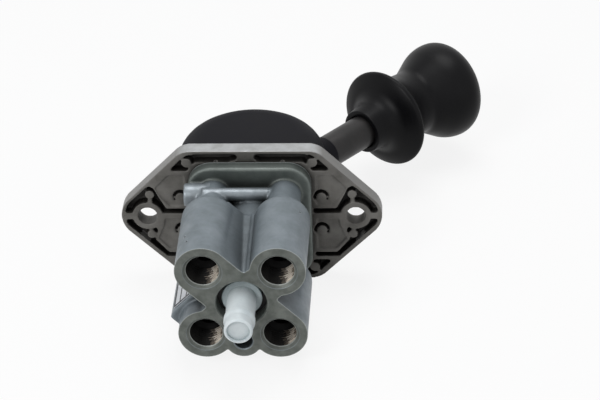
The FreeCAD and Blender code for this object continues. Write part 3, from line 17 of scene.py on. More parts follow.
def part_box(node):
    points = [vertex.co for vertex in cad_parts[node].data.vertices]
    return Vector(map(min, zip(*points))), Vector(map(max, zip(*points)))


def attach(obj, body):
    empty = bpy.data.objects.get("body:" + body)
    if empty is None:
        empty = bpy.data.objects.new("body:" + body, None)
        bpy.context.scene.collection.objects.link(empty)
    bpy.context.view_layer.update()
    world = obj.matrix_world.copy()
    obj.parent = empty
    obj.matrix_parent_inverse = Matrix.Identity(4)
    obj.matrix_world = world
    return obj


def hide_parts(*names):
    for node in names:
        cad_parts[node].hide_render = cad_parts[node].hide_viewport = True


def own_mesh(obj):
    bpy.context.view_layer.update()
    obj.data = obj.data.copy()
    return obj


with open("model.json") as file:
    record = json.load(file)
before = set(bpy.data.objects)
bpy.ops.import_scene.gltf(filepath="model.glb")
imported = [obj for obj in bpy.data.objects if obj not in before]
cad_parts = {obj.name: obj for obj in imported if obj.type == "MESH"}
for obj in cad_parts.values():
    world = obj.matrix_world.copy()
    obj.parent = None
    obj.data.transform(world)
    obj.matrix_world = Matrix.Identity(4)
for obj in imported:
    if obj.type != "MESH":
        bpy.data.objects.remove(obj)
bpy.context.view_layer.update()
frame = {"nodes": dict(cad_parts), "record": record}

MM = 0.001
TINY = 1e-6
LOG = logging.getLogger("hand_brake_valve")

# Sizes that several pieces share, in millimetres and degrees
PIVOT_HEIGHT = 10.0
LEVER_LEAN = 39.5
LEVER_SWING = 72.0
HOOD_RADIUS = 34.9

Point = tuple[float, float]
Place = tuple[float, float, float]
Face = tuple[int, ...]
Piece = bpy.types.Object
Tree = bpy.types.NodeTree
Socket = bpy.types.NodeSocket


class Body(Enum):
    """The moving bodies of the frame."""

    HOUSING = "housing"
    LEVER = "lever"
    GRIP = "grip"


class Lay(Enum):
    """Direction of the lines that a tool or a die leaves in a surface."""

    NONE = "none"
    TURNED = "turned"
    DRAWN = "drawn"


class Slot(Enum):
    """Material slots of the record."""

    BARE_CASTING = "bare_casting"
    BODY_CASTING = "body_casting"
    BLACK_MOULDING = "black_moulding"
    GRIP_PLASTIC = "grip_plastic"
    DARK_TUBE = "dark_tube"
    PLATED_STEEL = "plated_steel"
    SPRING_STEEL = "spring_steel"
    BRASS = "brass"
    BRONZE = "bronze"
    SEAL_RUBBER = "seal_rubber"
    GASKET_FIBRE = "gasket_fibre"
    MILKY_PLASTIC = "milky_plastic"
    LABEL_FILM = "label_film"


# Finishes

def linear(colour: str) -> tuple[float, float, float, float]:
    """Turns an sRGB hex value to a linear colour.

    Args:
        colour: Hex value such as "#7F868D".

    Returns:
        Linear red, green, blue and an alpha of 1.
    """
    parts = [int(colour[start:start + 2], 16) / 255 for start in (1, 3, 5)]
    red, green, blue = (c / 12.92 if c <= 0.04045 else ((c + 0.055) / 1.055) ** 2.4 for c in parts)
    return red, green, blue, 1.0


def add_node(tree: Tree, kind: str, inputs: dict | None = None, links: dict | None = None,
             **settings: object) -> bpy.types.Node:
    """Adds a node with its settings and links.

    Args:
        tree: Node tree that gets the node.
        kind: Blender's name for the node type.
        inputs: Socket name or index to its value.
        links: Socket name or index to the output that feeds it.
        settings: Properties of the node.

    Returns:
        The new node.
    """
    made = tree.nodes.new(kind)
    for name, value in settings.items():
        setattr(made, name, value)
    for socket, value in (inputs or {}).items():
        made.inputs[socket].default_value = value
    for socket, source in (links or {}).items():
        tree.links.new(source, made.inputs[socket])
    return made


def noise(tree: Tree, place: Socket, size_mm: float, **inputs: float) -> Socket:
    """Noise from 0 to 1 in patches of a size in millimetres."""
    scale = {"Scale": 1 / (size_mm * MM)}
    return add_node(tree, "ShaderNodeTexNoise", scale | inputs, {"Vector": place}).outputs["Fac"]


def ramp(tree: Tree, source: Socket, low: float, high: float, to_low: float = 0.0,
         to_high: float = 1.0) -> Socket:
    """Maps a value between low and high to another range."""
    ends = {"From Min": low, "From Max": high, "To Min": to_low, "To Max": to_high}
    return add_node(tree, "ShaderNodeMapRange", ends, {"Value": source}).outputs["Result"]


def blend(tree: Tree, share: Socket, first: str | Socket, second: str | Socket) -> Socket:
    """Mixes two colours, each a hex value or an output; the share is that of the second."""
    colours = {"A": first, "B": second}
    fixed = {name: linear(colour) for name, colour in colours.items() if isinstance(colour, str)}
    fed = {name: colour for name, colour in colours.items() if name not in fixed}
    mix = add_node(tree, "ShaderNodeMix", fixed, {"Factor": share, **fed}, data_type="RGBA")
    return mix.outputs["Result"]


def bump(tree: Tree, height: Socket, depth_mm: float, normal: Socket | None = None) -> Socket:
    """Bends the normal by a height, over an earlier bump where there is one."""
    links = {"Height": height} if normal is None else {"Height": height, "Normal": normal}
    return add_node(tree, "ShaderNodeBump", {"Distance": depth_mm * MM}, links).outputs["Normal"]


def empty_tree(owner: bpy.types.Material | bpy.types.World) -> Tree:
    """Node tree of a material or a world, without its first nodes."""
    owner.use_nodes = True
    owner.node_tree.nodes.clear()
    return owner.node_tree


@dataclass(frozen=True)
class Finish:
    """A surface of one real material, with colour patches, grain and tool lines, a painted shade in its
    hollows and on its sides, and edges lighter from wear and a painted highlight.
    """

    name: str
    colour: str
    patch_colour: str
    patch_mm: float = 9.0
    grain_mm: float = 0.5
    grain_depth_mm: float = 0.02
    roughness: float = 0.5
    roughness_spread: float = 0.06
    metallic: float = 0.0
    specular: float = 0.5
    subsurface: float = 0.0
    painted_shade_colour: str = ""
    painted_shade_mm: float = 4.0
    painted_shade_from: float = 0.35
    painted_shade_to: float = 0.95
    wear_and_highlight_colour: str = ""
    edge_mm: float = 0.5
    painted_side_shade_colour: str = ""
    lay: Lay = Lay.NONE
    lay_mm: float = 0.6
    lay_depth_mm: float = 0.01
    wave_mm: float = 0.0
    wave_depth_mm: float = 0.0

    def build(self) -> bpy.types.Material:
        """Makes the material's nodes, or returns it when it is there already."""
        found = bpy.data.materials.get(self.name)
        if found is not None:
            return found
        material = bpy.data.materials.new(self.name)
        tree = empty_tree(material)
        place = add_node(tree, "ShaderNodeTexCoord").outputs["Object"]
        patches = noise(tree, place, self.patch_mm, Detail=4.0, Roughness=0.6)
        painted = blend(tree, ramp(tree, patches, 0.35, 0.65), self.colour, self.patch_colour)
        # Painted shade: darker where the surface turns from up to the sides
        if self.painted_side_shade_colour:
            painted = blend(tree, self.turned_away(tree), painted, self.painted_side_shade_colour)
        # Painted shade: darker colour in corners, recesses and bores
        if self.painted_shade_colour:
            painted = blend(tree, self.unshaded_share(tree), self.painted_shade_colour, painted)
        # Edges lighter: partly wear, partly a painted highlight
        if self.wear_and_highlight_colour:
            painted = blend(tree, self.wear_and_highlight_share(tree), painted, self.wear_and_highlight_colour)
        polish = ramp(tree, patches, 0.3, 0.7, self.roughness - self.roughness_spread,
                      self.roughness + self.roughness_spread)
        shader = add_node(tree, "ShaderNodeBsdfPrincipled", {
            "Metallic": self.metallic, "Specular IOR Level": self.specular,
            "Subsurface Weight": self.subsurface}, {
            "Base Color": painted, "Roughness": polish, "Normal": self.relief(tree, place)})
        if self.subsurface:
            shader.inputs["Subsurface Radius"].default_value = (1.0, 1.0, 1.0)
            shader.inputs["Subsurface Scale"].default_value = 3 * MM
        add_node(tree, "ShaderNodeOutputMaterial", links={"Surface": shader.outputs["BSDF"]})
        return material

    def unshaded_share(self, tree: Tree) -> Socket:
        """1 on open surfaces and 0 in corners and recesses, which get a painted shade."""
        hollow = add_node(tree, "ShaderNodeAmbientOcclusion", {"Distance": self.painted_shade_mm * MM}, samples=6)
        return ramp(tree, hollow.outputs["AO"], self.painted_shade_from, self.painted_shade_to)

    def turned_away(self, tree: Tree) -> Socket:
        """0 where the surface looks up and 1 where it turns to the sides."""
        normal = add_node(tree, "ShaderNodeTexCoord").outputs["Normal"]
        height = add_node(tree, "ShaderNodeSeparateXYZ", links={0: normal}).outputs["Z"]
        return ramp(tree, height, 0.98, 0.75)

    def wear_and_highlight_share(self, tree: Tree) -> Socket:
        """1 on convex edges, which get a lighter colour, partly for wear and partly as a painted highlight.
        """
        thin = add_node(tree, "ShaderNodeAmbientOcclusion", {"Distance": self.edge_mm * MM}, samples=6,
                        inside=True)
        return ramp(tree, thin.outputs["AO"], 0.9, 0.55)

    def tool_lines(self, tree: Tree, place: Socket) -> Socket:
        """Height of the rings that turning leaves, or of the lines that drawing leaves."""
        if self.lay is Lay.TURNED:
            rings = {"Scale": 0.314 / (self.lay_mm * MM), "Distortion": 0.6, "Detail": 2.0}
            return add_node(tree, "ShaderNodeTexWave", rings, {"Vector": place},
                            bands_direction="Y").outputs["Fac"]
        along = add_node(tree, "ShaderNodeMapping", {"Scale": (1.0, 0.05, 1.0)}, {"Vector": place})
        return noise(tree, along.outputs["Vector"], self.lay_mm)

    def relief(self, tree: Tree, place: Socket) -> Socket:
        """Stacks the bumps of grain, tool lines and long waves.

        Args:
            tree: The material's nodes.
            place: Coordinates in metres.

        Returns:
            The bent normal.
        """
        normal = bump(tree, noise(tree, place, self.grain_mm, Detail=3.0), self.grain_depth_mm)
        if self.lay is not Lay.NONE:
            normal = bump(tree, self.tool_lines(tree, place), self.lay_depth_mm, normal)
        if self.wave_mm:
            normal = bump(tree, noise(tree, place, self.wave_mm, Detail=1.0), self.wave_depth_mm, normal)
        return normal


# Bare pressure die-cast aluminium: warm dark grey, dull, with a painted shade that makes its recesses black,
# and edges lighter from wear and a painted highlight
BARE_DIE_CAST = Finish("diecast_aluminium_bare", "#716F6B", "#5B5955", patch_mm=12, grain_mm=0.45,
                       grain_depth_mm=0.04, roughness=0.55, metallic=0.15, specular=0.3,
                       wear_and_highlight_colour="#8C8A86", edge_mm=0.4, painted_shade_colour="#181614", painted_shade_mm=7,
                       wave_mm=5, wave_depth_mm=0.05)
# The same casting where its flash was trimmed: bright bare metal, with a painted shade that darkens it where
# it turns from up to the sides
TRIMMED_DIE_CAST = Finish("diecast_aluminium_trimmed", "#B2B4B5", "#9B9C9B", patch_mm=7, grain_mm=0.4,
                          grain_depth_mm=0.03, roughness=0.45, metallic=0.2, specular=0.4,
                          painted_side_shade_colour="#7E7D7B")
# Shot-blasted and passivated die-cast aluminium: blue-grey with a soft broad shine, a painted shade in its
# hollows, and edges lighter from wear and a painted highlight
BLUE_DIE_CAST = Finish("diecast_aluminium_passivated", "#7B848A", "#6A7378", patch_mm=9, grain_mm=0.4,
                       grain_depth_mm=0.04, roughness=0.44, metallic=0.25, specular=0.4,
                       wear_and_highlight_colour="#A4ABAE", painted_shade_colour="#262A2B", painted_shade_mm=14, wave_mm=6,
                       wave_depth_mm=0.06)
# The same casting on the side channel, with a painted highlight: nearly bright, and a painted shade in its
# hollows
PAINTED_HIGHLIGHT_DIE_CAST = Finish("diecast_aluminium_painted_highlight", "#949CA2", "#7E868B", patch_mm=5, grain_mm=0.4,
                         grain_depth_mm=0.04, roughness=0.38, metallic=0.3, painted_shade_colour="#2A2E2F",
                         painted_shade_mm=10, wave_mm=4, wave_depth_mm=0.06)
# The same casting near the flange, partly stained by oil and partly a painted shade where the bosses shade
# it, with the same painted shade in the valley below the channel: dark green-grey, with edges lighter from
# wear and a painted highlight
OILED_AND_SHADED_DIE_CAST = Finish("diecast_aluminium_oiled_and_shaded", "#6A716D", "#575E5A", patch_mm=8, grain_mm=0.4,
                        grain_depth_mm=0.04, roughness=0.42, metallic=0.2, specular=0.4,
                        wear_and_highlight_colour="#B6BEBC", edge_mm=0.9, painted_shade_colour="#1E2120", painted_shade_mm=12,
                        wave_mm=6, wave_depth_mm=0.06)
# Face-milled aluminium that has dulled: flat green-grey, mottled, with thin edges lighter from wear and a
# painted highlight
MILLED_FACE = Finish("milled_aluminium_face", "#6A6E69", "#545853", patch_mm=5, grain_mm=0.35,
                     grain_depth_mm=0.015, roughness=0.5, metallic=0.2, specular=0.35,
                     wear_and_highlight_colour="#A2A6A2", edge_mm=0.5)
# Tapped aluminium on the side of the bore where the light falls, a painted highlight: beige crests with a
# painted shade in the roots
PAINTED_LIT_THREAD = Finish("tapped_aluminium", "#E6DCCD", "#C2B6A5", patch_mm=2.5, grain_mm=0.3,
                    grain_depth_mm=0.01, roughness=0.4, specular=0.4, painted_shade_colour="#15110D",
                    painted_shade_mm=1.2, painted_shade_from=0.45, painted_shade_to=0.9)
# The same thread between the lit and the shaded side, a painted half shade: brown-grey
PAINTED_HALF_LIT_THREAD = Finish("tapped_aluminium_painted_half_lit", "#7A6F62", "#544C43", patch_mm=2.5, grain_mm=0.3,
                     grain_depth_mm=0.01, roughness=0.45, specular=0.2, painted_shade_colour="#0C0A08",
                     painted_shade_mm=1.2, painted_shade_from=0.45, painted_shade_to=0.9)
# The same thread and drilled bore where no light falls, a painted shade: near black
PAINTED_SHADE_THREAD = Finish("tapped_aluminium_painted_shade", "#171512", "#0D0C0A", patch_mm=3, grain_mm=0.3,
                      grain_depth_mm=0.01, roughness=0.5, specular=0.12, painted_shade_colour="#020202",
                      painted_shade_mm=20, painted_shade_from=0.08, painted_shade_to=0.5)
# Injection-moulded glass-filled polyamide, spark-eroded grain: matt black with a blue cast
BLACK_POLYAMIDE = Finish("polyamide_black_moulded", "#0B0B10", "#111116", patch_mm=22, grain_mm=0.5,
                         grain_depth_mm=0.03, roughness=0.62, roughness_spread=0.04, specular=0.1)
# Compression-moulded phenolic, polished by the hand: satin black, smooth, slightly wavy
SATIN_PHENOLIC = Finish("phenolic_black_satin", "#070709", "#0B0B0D", patch_mm=16, grain_mm=0.35,
                        grain_depth_mm=0.006, roughness=0.4, roughness_spread=0.05, specular=0.12,
                        wave_mm=9, wave_depth_mm=0.03)
# Drawn steel tube, phosphated brown-grey: satin, with fine lines along its length
PHOSPHATED_STEEL = Finish("steel_phosphated_drawn", "#232121", "#1B1A1A", patch_mm=8, grain_mm=0.3,
                          grain_depth_mm=0.008, roughness=0.42, metallic=0.4, lay=Lay.DRAWN, lay_mm=0.5,
                          lay_depth_mm=0.006)
# Zinc-plated turned steel: pale grey metal with fine rings
ZINC_STEEL = Finish("steel_zinc_plated", "#A7A9AB", "#989A9B", patch_mm=4, grain_mm=0.25,
                    grain_depth_mm=0.006, roughness=0.34, metallic=0.9, lay=Lay.TURNED, lay_mm=0.4,
                    lay_depth_mm=0.004)
# Oiled spring wire: dark blue-grey steel with drawing lines
SPRING_STEEL = Finish("spring_steel_oiled", "#5A5C60", "#4A4B4E", patch_mm=3, grain_mm=0.25,
                      grain_depth_mm=0.006, roughness=0.3, metallic=0.9)
# Turned brass: yellow metal with fine tool rings
TURNED_BRASS = Finish("brass_turned", "#B08D4C", "#9C7B40", patch_mm=4, grain_mm=0.25,
                      grain_depth_mm=0.005, roughness=0.3, metallic=1.0, lay=Lay.TURNED, lay_mm=0.4,
                      lay_depth_mm=0.005)
# Sintered bronze: porous brown metal, dull
SINTERED_BRONZE = Finish("bronze_sintered", "#8C6A41", "#6F5434", patch_mm=3, grain_mm=0.3,
                         grain_depth_mm=0.03, roughness=0.5, metallic=0.8)
# Moulded nitrile rubber: black, soft shine
NITRILE_RUBBER = Finish("nitrile_rubber_moulded", "#1A1A1B", "#222223", patch_mm=3, grain_mm=0.3,
                        grain_depth_mm=0.01, roughness=0.55)
# Pressed fibre sheet: dark green-grey, fibrous
FIBRE_SHEET = Finish("gasket_fibre_pressed", "#3A403E", "#2C302F", patch_mm=2, grain_mm=0.3,
                     grain_depth_mm=0.03, roughness=0.8)
# Moulded low-density polyethylene: milky, light goes a little way in, with a painted shade in its hollows
MILKY_POLYETHYLENE = Finish("polyethylene_milky", "#D6DEE0", "#C8D1D4", patch_mm=8, grain_mm=0.6,
                            grain_depth_mm=0.008, roughness=0.42, specular=0.35, subsurface=0.6,
                            painted_shade_colour="#7F8E90", painted_shade_mm=5, wave_mm=4, wave_depth_mm=0.03)
# Blank vinyl film: off-white and smooth
WHITE_FILM = Finish("vinyl_film_white", "#D4D7DA", "#C9CCD0", patch_mm=5, grain_mm=0.4,
                    grain_depth_mm=0.004, roughness=0.4)
# Printed border of the blank film: black ink, thin and dull
BLACK_INK = Finish("vinyl_ink_black", "#26282C", "#303236", patch_mm=3, grain_mm=0.3,
                   grain_depth_mm=0.003, roughness=0.5)

SLOT_FINISH: dict[Slot, Finish] = {
    Slot.BARE_CASTING: BARE_DIE_CAST, Slot.BODY_CASTING: BLUE_DIE_CAST,
    Slot.BLACK_MOULDING: BLACK_POLYAMIDE, Slot.GRIP_PLASTIC: SATIN_PHENOLIC,
    Slot.DARK_TUBE: PHOSPHATED_STEEL, Slot.PLATED_STEEL: ZINC_STEEL, Slot.SPRING_STEEL: SPRING_STEEL,
    Slot.BRASS: TURNED_BRASS, Slot.BRONZE: SINTERED_BRONZE, Slot.SEAL_RUBBER: NITRILE_RUBBER,
    Slot.GASKET_FIBRE: FIBRE_SHEET, Slot.MILKY_PLASTIC: MILKY_POLYETHYLENE, Slot.LABEL_FILM: WHITE_FILM}


# Mesh helpers

def linked(name: str, data: bpy.types.ID) -> Piece:
    """Makes an object that holds some data and links it to the scene."""
    made = bpy.data.objects.new(name, data)
    bpy.context.scene.collection.objects.link(made)
    return made


def from_work(name: str, work: bmesh.types.BMesh) -> Piece:
    """Makes an object of a work mesh and frees the work mesh."""
    mesh = bpy.data.meshes.new(name)
    work.to_mesh(mesh)
    work.free()
    return linked(name, mesh)


def mesh_object(name: str, points: Iterable[Sequence[float]], faces: Iterable[Face],
                place: Matrix | None = None) -> Piece:
    """Makes an object from points in millimetres.

    Args:
        name: Name of the object and its mesh.
        points: Corners in millimetres.
        faces: Corner numbers of each face.
        place: Turn and shift, in metres.

    Returns:
        The object, linked to the scene.
    """
    mesh = bpy.data.meshes.new(name)
    mesh.from_pydata([Vector(p) * MM for p in points], [], list(faces))
    if place is not None:
        mesh.transform(place)
    return linked(name, mesh)


def smooth(piece: Piece, angle: float = 35.0) -> None:
    """Shades a piece smooth except over edges sharper than the angle, in degrees."""
    mesh = piece.data
    mesh.polygons.foreach_set("use_smooth", [True] * len(mesh.polygons))
    mesh.set_sharp_from_angle(angle=math.radians(angle))


def apply_modifiers(piece: Piece) -> None:
    """Turns a piece's modifiers into its mesh."""
    graph = bpy.context.evaluated_depsgraph_get()
    settled = bpy.data.meshes.new_from_object(piece.evaluated_get(graph))
    piece.modifiers.clear()
    old = piece.data
    piece.data = settled
    settled.name = piece.name
    bpy.data.meshes.remove(old)


def corner_arc(before: Point, corner: Point, after: Point, radius: float, steps: int) -> list[Point]:
    """Rounds one corner of an outline.

    Args:
        before: Corner before this one.
        corner: The corner.
        after: Corner after it.
        radius: Wanted radius in millimetres.
        steps: Straight pieces in the arc.

    Returns:
        Points of the arc, or the corner itself where it can't be rounded.
    """
    here = Vector(corner)
    back, ahead = Vector(before) - here, Vector(after) - here
    if min(back.length, ahead.length) < 1e-6:
        return [corner]
    opening = back.angle(ahead)
    if opening < 0.1 or opening > math.pi - 0.1:
        return [corner]
    reach = min(radius / math.tan(opening / 2), 0.45 * back.length, 0.45 * ahead.length)
    start, end = here + back.normalized() * reach, here + ahead.normalized() * reach
    points = []
    for step in range(steps + 1):
        t = step / steps
        spot = start * (1 - t) ** 2 + here * 2 * t * (1 - t) + end * t ** 2
        points.append((spot.x, spot.y))
    return points


def softened(corners: Sequence[Point], radius: float, steps: int = 3) -> list[Point]:
    """Rounds every corner of an open or closed outline that doesn't lie on the axis."""
    points: list[Point] = []
    count = len(corners)
    for index, corner in enumerate(corners):
        if corner[0] < 1e-6:
            points.append(corner)
            continue
        points += corner_arc(corners[index - 1], corner, corners[(index + 1) % count], radius, steps)
    return points


def arc(start: Point, end: Point, radius: float, side: int, steps: int) -> list[Point]:
    """Points of an arc without its start.

    Args:
        start: First point.
        end: Last point.
        radius: Radius in millimetres.
        side: 1 for a centre on the left of the way, -1 for one on the right.
        steps: Straight pieces in the arc.

    Returns:
        The points after the start, with the end.
    """
    a, b = Vector(start), Vector(end)
    chord = b - a
    reach = math.sqrt(max(radius ** 2 - (chord.length / 2) ** 2, 0.0))
    left = Vector((-chord.y, chord.x)).normalized()
    centre = (a + b) / 2 + left * reach * side
    first = math.atan2(a.y - centre.y, a.x - centre.x)
    last = math.atan2(b.y - centre.y, b.x - centre.x)
    turn = (last - first) % (2 * math.pi) if side > 0 else -((first - last) % (2 * math.pi))
    return [(centre.x + radius * math.cos(first + turn * k / steps),
             centre.y + radius * math.sin(first + turn * k / steps)) for k in range(1, steps + 1)]


def line(start: Point, end: Point, steps: int) -> list[Point]:
    """Points of a straight stretch without its start."""
    return [(start[0] + (end[0] - start[0]) * k / steps, start[1] + (end[1] - start[1]) * k / steps)
            for k in range(1, steps + 1)]


def round_skin(name: str, rings: Sequence[tuple[float, Matrix]], place: Matrix | None,
               segments: int) -> Piece:
    """Makes a closed skin through rings that lie round +Y.

    Args:
        name: Name of the piece.
        rings: Radius in millimetres and place of each ring; a ring of no radius is a point.
        place: Where the piece goes, in metres.
        segments: Faces round the axis.

    Returns:
        The piece. Its last ring meets its first, unless both are points.
    """
    points: list[Vector] = []
    numbers: list[list[int]] = []
    for radius, ring in rings:
        first = len(points)
        if radius < TINY:
            numbers.append([first] * segments)
            points.append(ring.translation.copy())
            continue
        numbers.append(list(range(first, first + segments)))
        for k in range(segments):
            turn = 2 * math.pi * k / segments
            points.append(ring @ Vector((radius * math.cos(turn), 0, -radius * math.sin(turn))))
    closed = max(rings[0][0], rings[-1][0]) > TINY
    faces: list[Face] = []
    for index in range(len(numbers) if closed else len(numbers) - 1):
        low, high = numbers[index], numbers[(index + 1) % len(numbers)]
        for k in range(segments):
            after = (k + 1) % segments
            face = tuple(dict.fromkeys((low[k], low[after], high[after], high[k])))
            if len(face) > 2:
                faces.append(face)
    made = mesh_object(name, points, faces, place)
    outward(made)
    return made


def lathe(name: str, outline: Sequence[Point], place: Matrix | None = None, segments: int = 96) -> Piece:
    """Turns an outline of (radius, height) in millimetres about +Y."""
    rings = [(radius, Matrix.Translation((0, height, 0))) for radius, height in outline]
    return round_skin(name, rings, place, segments)


def outward(piece: Piece) -> None:
    """Makes a closed piece's faces point out."""
    work = bmesh.new()
    work.from_mesh(piece.data)
    bmesh.ops.recalc_face_normals(work, faces=work.faces)
    work.to_mesh(piece.data)
    work.free()


def cylinder(name: str, radius: float, start: Sequence[float], end: Sequence[float], segments: int = 64,
             taper: float = 1.0) -> Piece:
    """Round cutter or bar between two points in millimetres; the taper is its end's share of the radius."""
    along = Vector(end) - Vector(start)
    turn = Vector((0, 1, 0)).rotation_difference(along).to_matrix().to_4x4()
    outline = [(0, 0), (radius, 0), (radius * taper, along.length), (0, along.length)]
    return lathe(name, outline, Matrix.Translation(Vector(start) * MM) @ turn, segments)


def box(name: str, low: Sequence[float], high: Sequence[float], place: Matrix | None = None) -> Piece:
    """Plain box between two corners in millimetres."""
    points = [(x, y, z) for x in (low[0], high[0]) for y in (low[1], high[1]) for z in (low[2], high[2])]
    faces = [(0, 1, 3, 2), (4, 6, 7, 5), (0, 4, 5, 1), (2, 3, 7, 6), (0, 2, 6, 4), (1, 5, 7, 3)]
    made = mesh_object(name, points, faces, place)
    outward(made)
    return made


def joined(name: str, pieces: Sequence[Piece]) -> Piece:
    """Puts the meshes of several pieces in one object and removes them."""
    work = bmesh.new()
    for piece in pieces:
        work.from_mesh(piece.data)
        bpy.data.objects.remove(piece)
    return from_work(name, work)


def carve(piece: Piece, cutters: Sequence[Piece], operation: str = "DIFFERENCE") -> None:
    """Cuts or joins several closed pieces into one, and removes them.

    Args:
        piece: Piece that changes.
        cutters: The tools.
        operation: Boolean operation.
    """
    for cutter in cutters:
        modifier = piece.modifiers.new(cutter.name, "BOOLEAN")
        modifier.object = cutter
        modifier.operation = operation
        modifier.solver = "EXACT"
    apply_modifiers(piece)
    for cutter in cutters:
        bpy.data.objects.remove(cutter)


def node_copy(name: str, node: str, stretch: Callable[[Vector], Vector] | None = None) -> Piece:
    """Copies a node's solid as one closed piece.

    Args:
        name: Name of the piece.
        node: CAD node whose mesh is copied.
        stretch: Moves each point.

    Returns:
        The copy.
    """
    work = bmesh.new()
    work.from_mesh(frame["nodes"][node].data)
    bmesh.ops.remove_doubles(work, verts=work.verts, dist=0.001 * MM)
    if stretch is not None:
        for vertex in work.verts:
            vertex.co = stretch(vertex.co)
    return from_work(name, work)


def melted(name: str, pieces: Sequence[Piece], voxel: float, rounds: int, keep: float) -> Piece:
    """Melts closed pieces together and rounds their edges, as a die casting's are.

    Args:
        name: Name of the casting.
        pieces: Pieces that may lie in each other.
        voxel: Size of the new mesh in millimetres.
        rounds: Smoothing rounds.
        keep: Share of the faces kept after thinning.

    Returns:
        The casting.
    """
    made = joined(name, pieces)
    remesh = made.modifiers.new("cast", "REMESH")
    remesh.mode = "VOXEL"
    remesh.voxel_size = voxel * MM
    melt = made.modifiers.new("melt", "SMOOTH")
    melt.factor = 0.5
    melt.iterations = rounds
    thin = made.modifiers.new("thin", "DECIMATE")
    thin.ratio = keep
    apply_modifiers(made)
    return made


def between(name: str, low: Sequence[Place], high: Sequence[Place]) -> Piece:
    """Closed piece between two outlines with as many points each, in millimetres."""
    count = len(low)
    faces: list[Face] = [(k, (k + 1) % count, count + (k + 1) % count, count + k) for k in range(count)]
    faces += [tuple(range(count)), tuple(range(2 * count - 1, count - 1, -1))]
    made = mesh_object(name, [*low, *high], faces)
    outward(made)
    return made


def prism(name: str, outline: Sequence[Point], low: float, high: float, sides: Point = (1, 1),
          rounding: float = 0.0) -> Piece:
    """Straight piece along Y with an outline in X and Z.

    Args:
        name: Name of the piece.
        outline: Corners (x, z) in millimetres.
        low: Its lower end in Y.
        high: Its upper end in Y.
        sides: Signs that mirror x and z.
        rounding: Radius of its corners.

    Returns:
        The piece.
    """
    corners = list(outline)
    if rounding > 0:
        after = list(outline[1:]) + [outline[0]]
        corners = [spot for k, corner in enumerate(outline)
                   for spot in corner_arc(outline[k - 1], corner, after[k], rounding, 3)]
    ends = ([(x * sides[0], y, z * sides[1]) for x, z in corners] for y in (low, high))
    return between(name, *ends)


def dress(piece: Piece, slot: Slot, finishes: Sequence[Finish] = (),
          chooser: Callable[[bpy.types.MeshPolygon], int] | None = None) -> None:
    """Gives a piece its materials.

    Args:
        piece: The piece.
        slot: Material slot of the record.
        finishes: Finishes in order; the slot's own when there are none.
        chooser: Picks the finish's number for a face.
    """
    piece.data.materials.clear()
    for finish in finishes or (SLOT_FINISH[slot],):
        piece.data.materials.append(finish.build())
    if chooser is not None:
        for face in piece.data.polygons:
            face.material_index = chooser(face)


def settle(piece: Piece, body: Body, slot: Slot, *nodes: str) -> None:
    """Puts a finished piece on its body and hides the nodes that it stands for."""
    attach(piece, body.value)
    if nodes:
        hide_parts(*nodes)
    LOG.info("piece %s rides on %s, %d faces", piece.name, body.value, len(piece.data.polygons))


def present(piece: Piece, body: Body, slot: Slot, *nodes: str, angle: float = 35.0,
            finishes: Sequence[Finish] = (),
            chooser: Callable[[bpy.types.MeshPolygon], int] | None = None) -> None:
    """Shades, dresses and settles a piece.

    Args:
        piece: The piece.
        body: Body that it rides on.
        slot: Material slot of the record.
        nodes: CAD nodes that it stands for.
        angle: Edges sharper than this, in degrees, stay sharp.
        finishes: Finishes in order; the slot's own when there are none.
        chooser: Picks the finish's number for a face.
    """
    smooth(piece, angle)
    dress(piece, slot, finishes, chooser)
    settle(piece, body, slot, *nodes)


# The castings

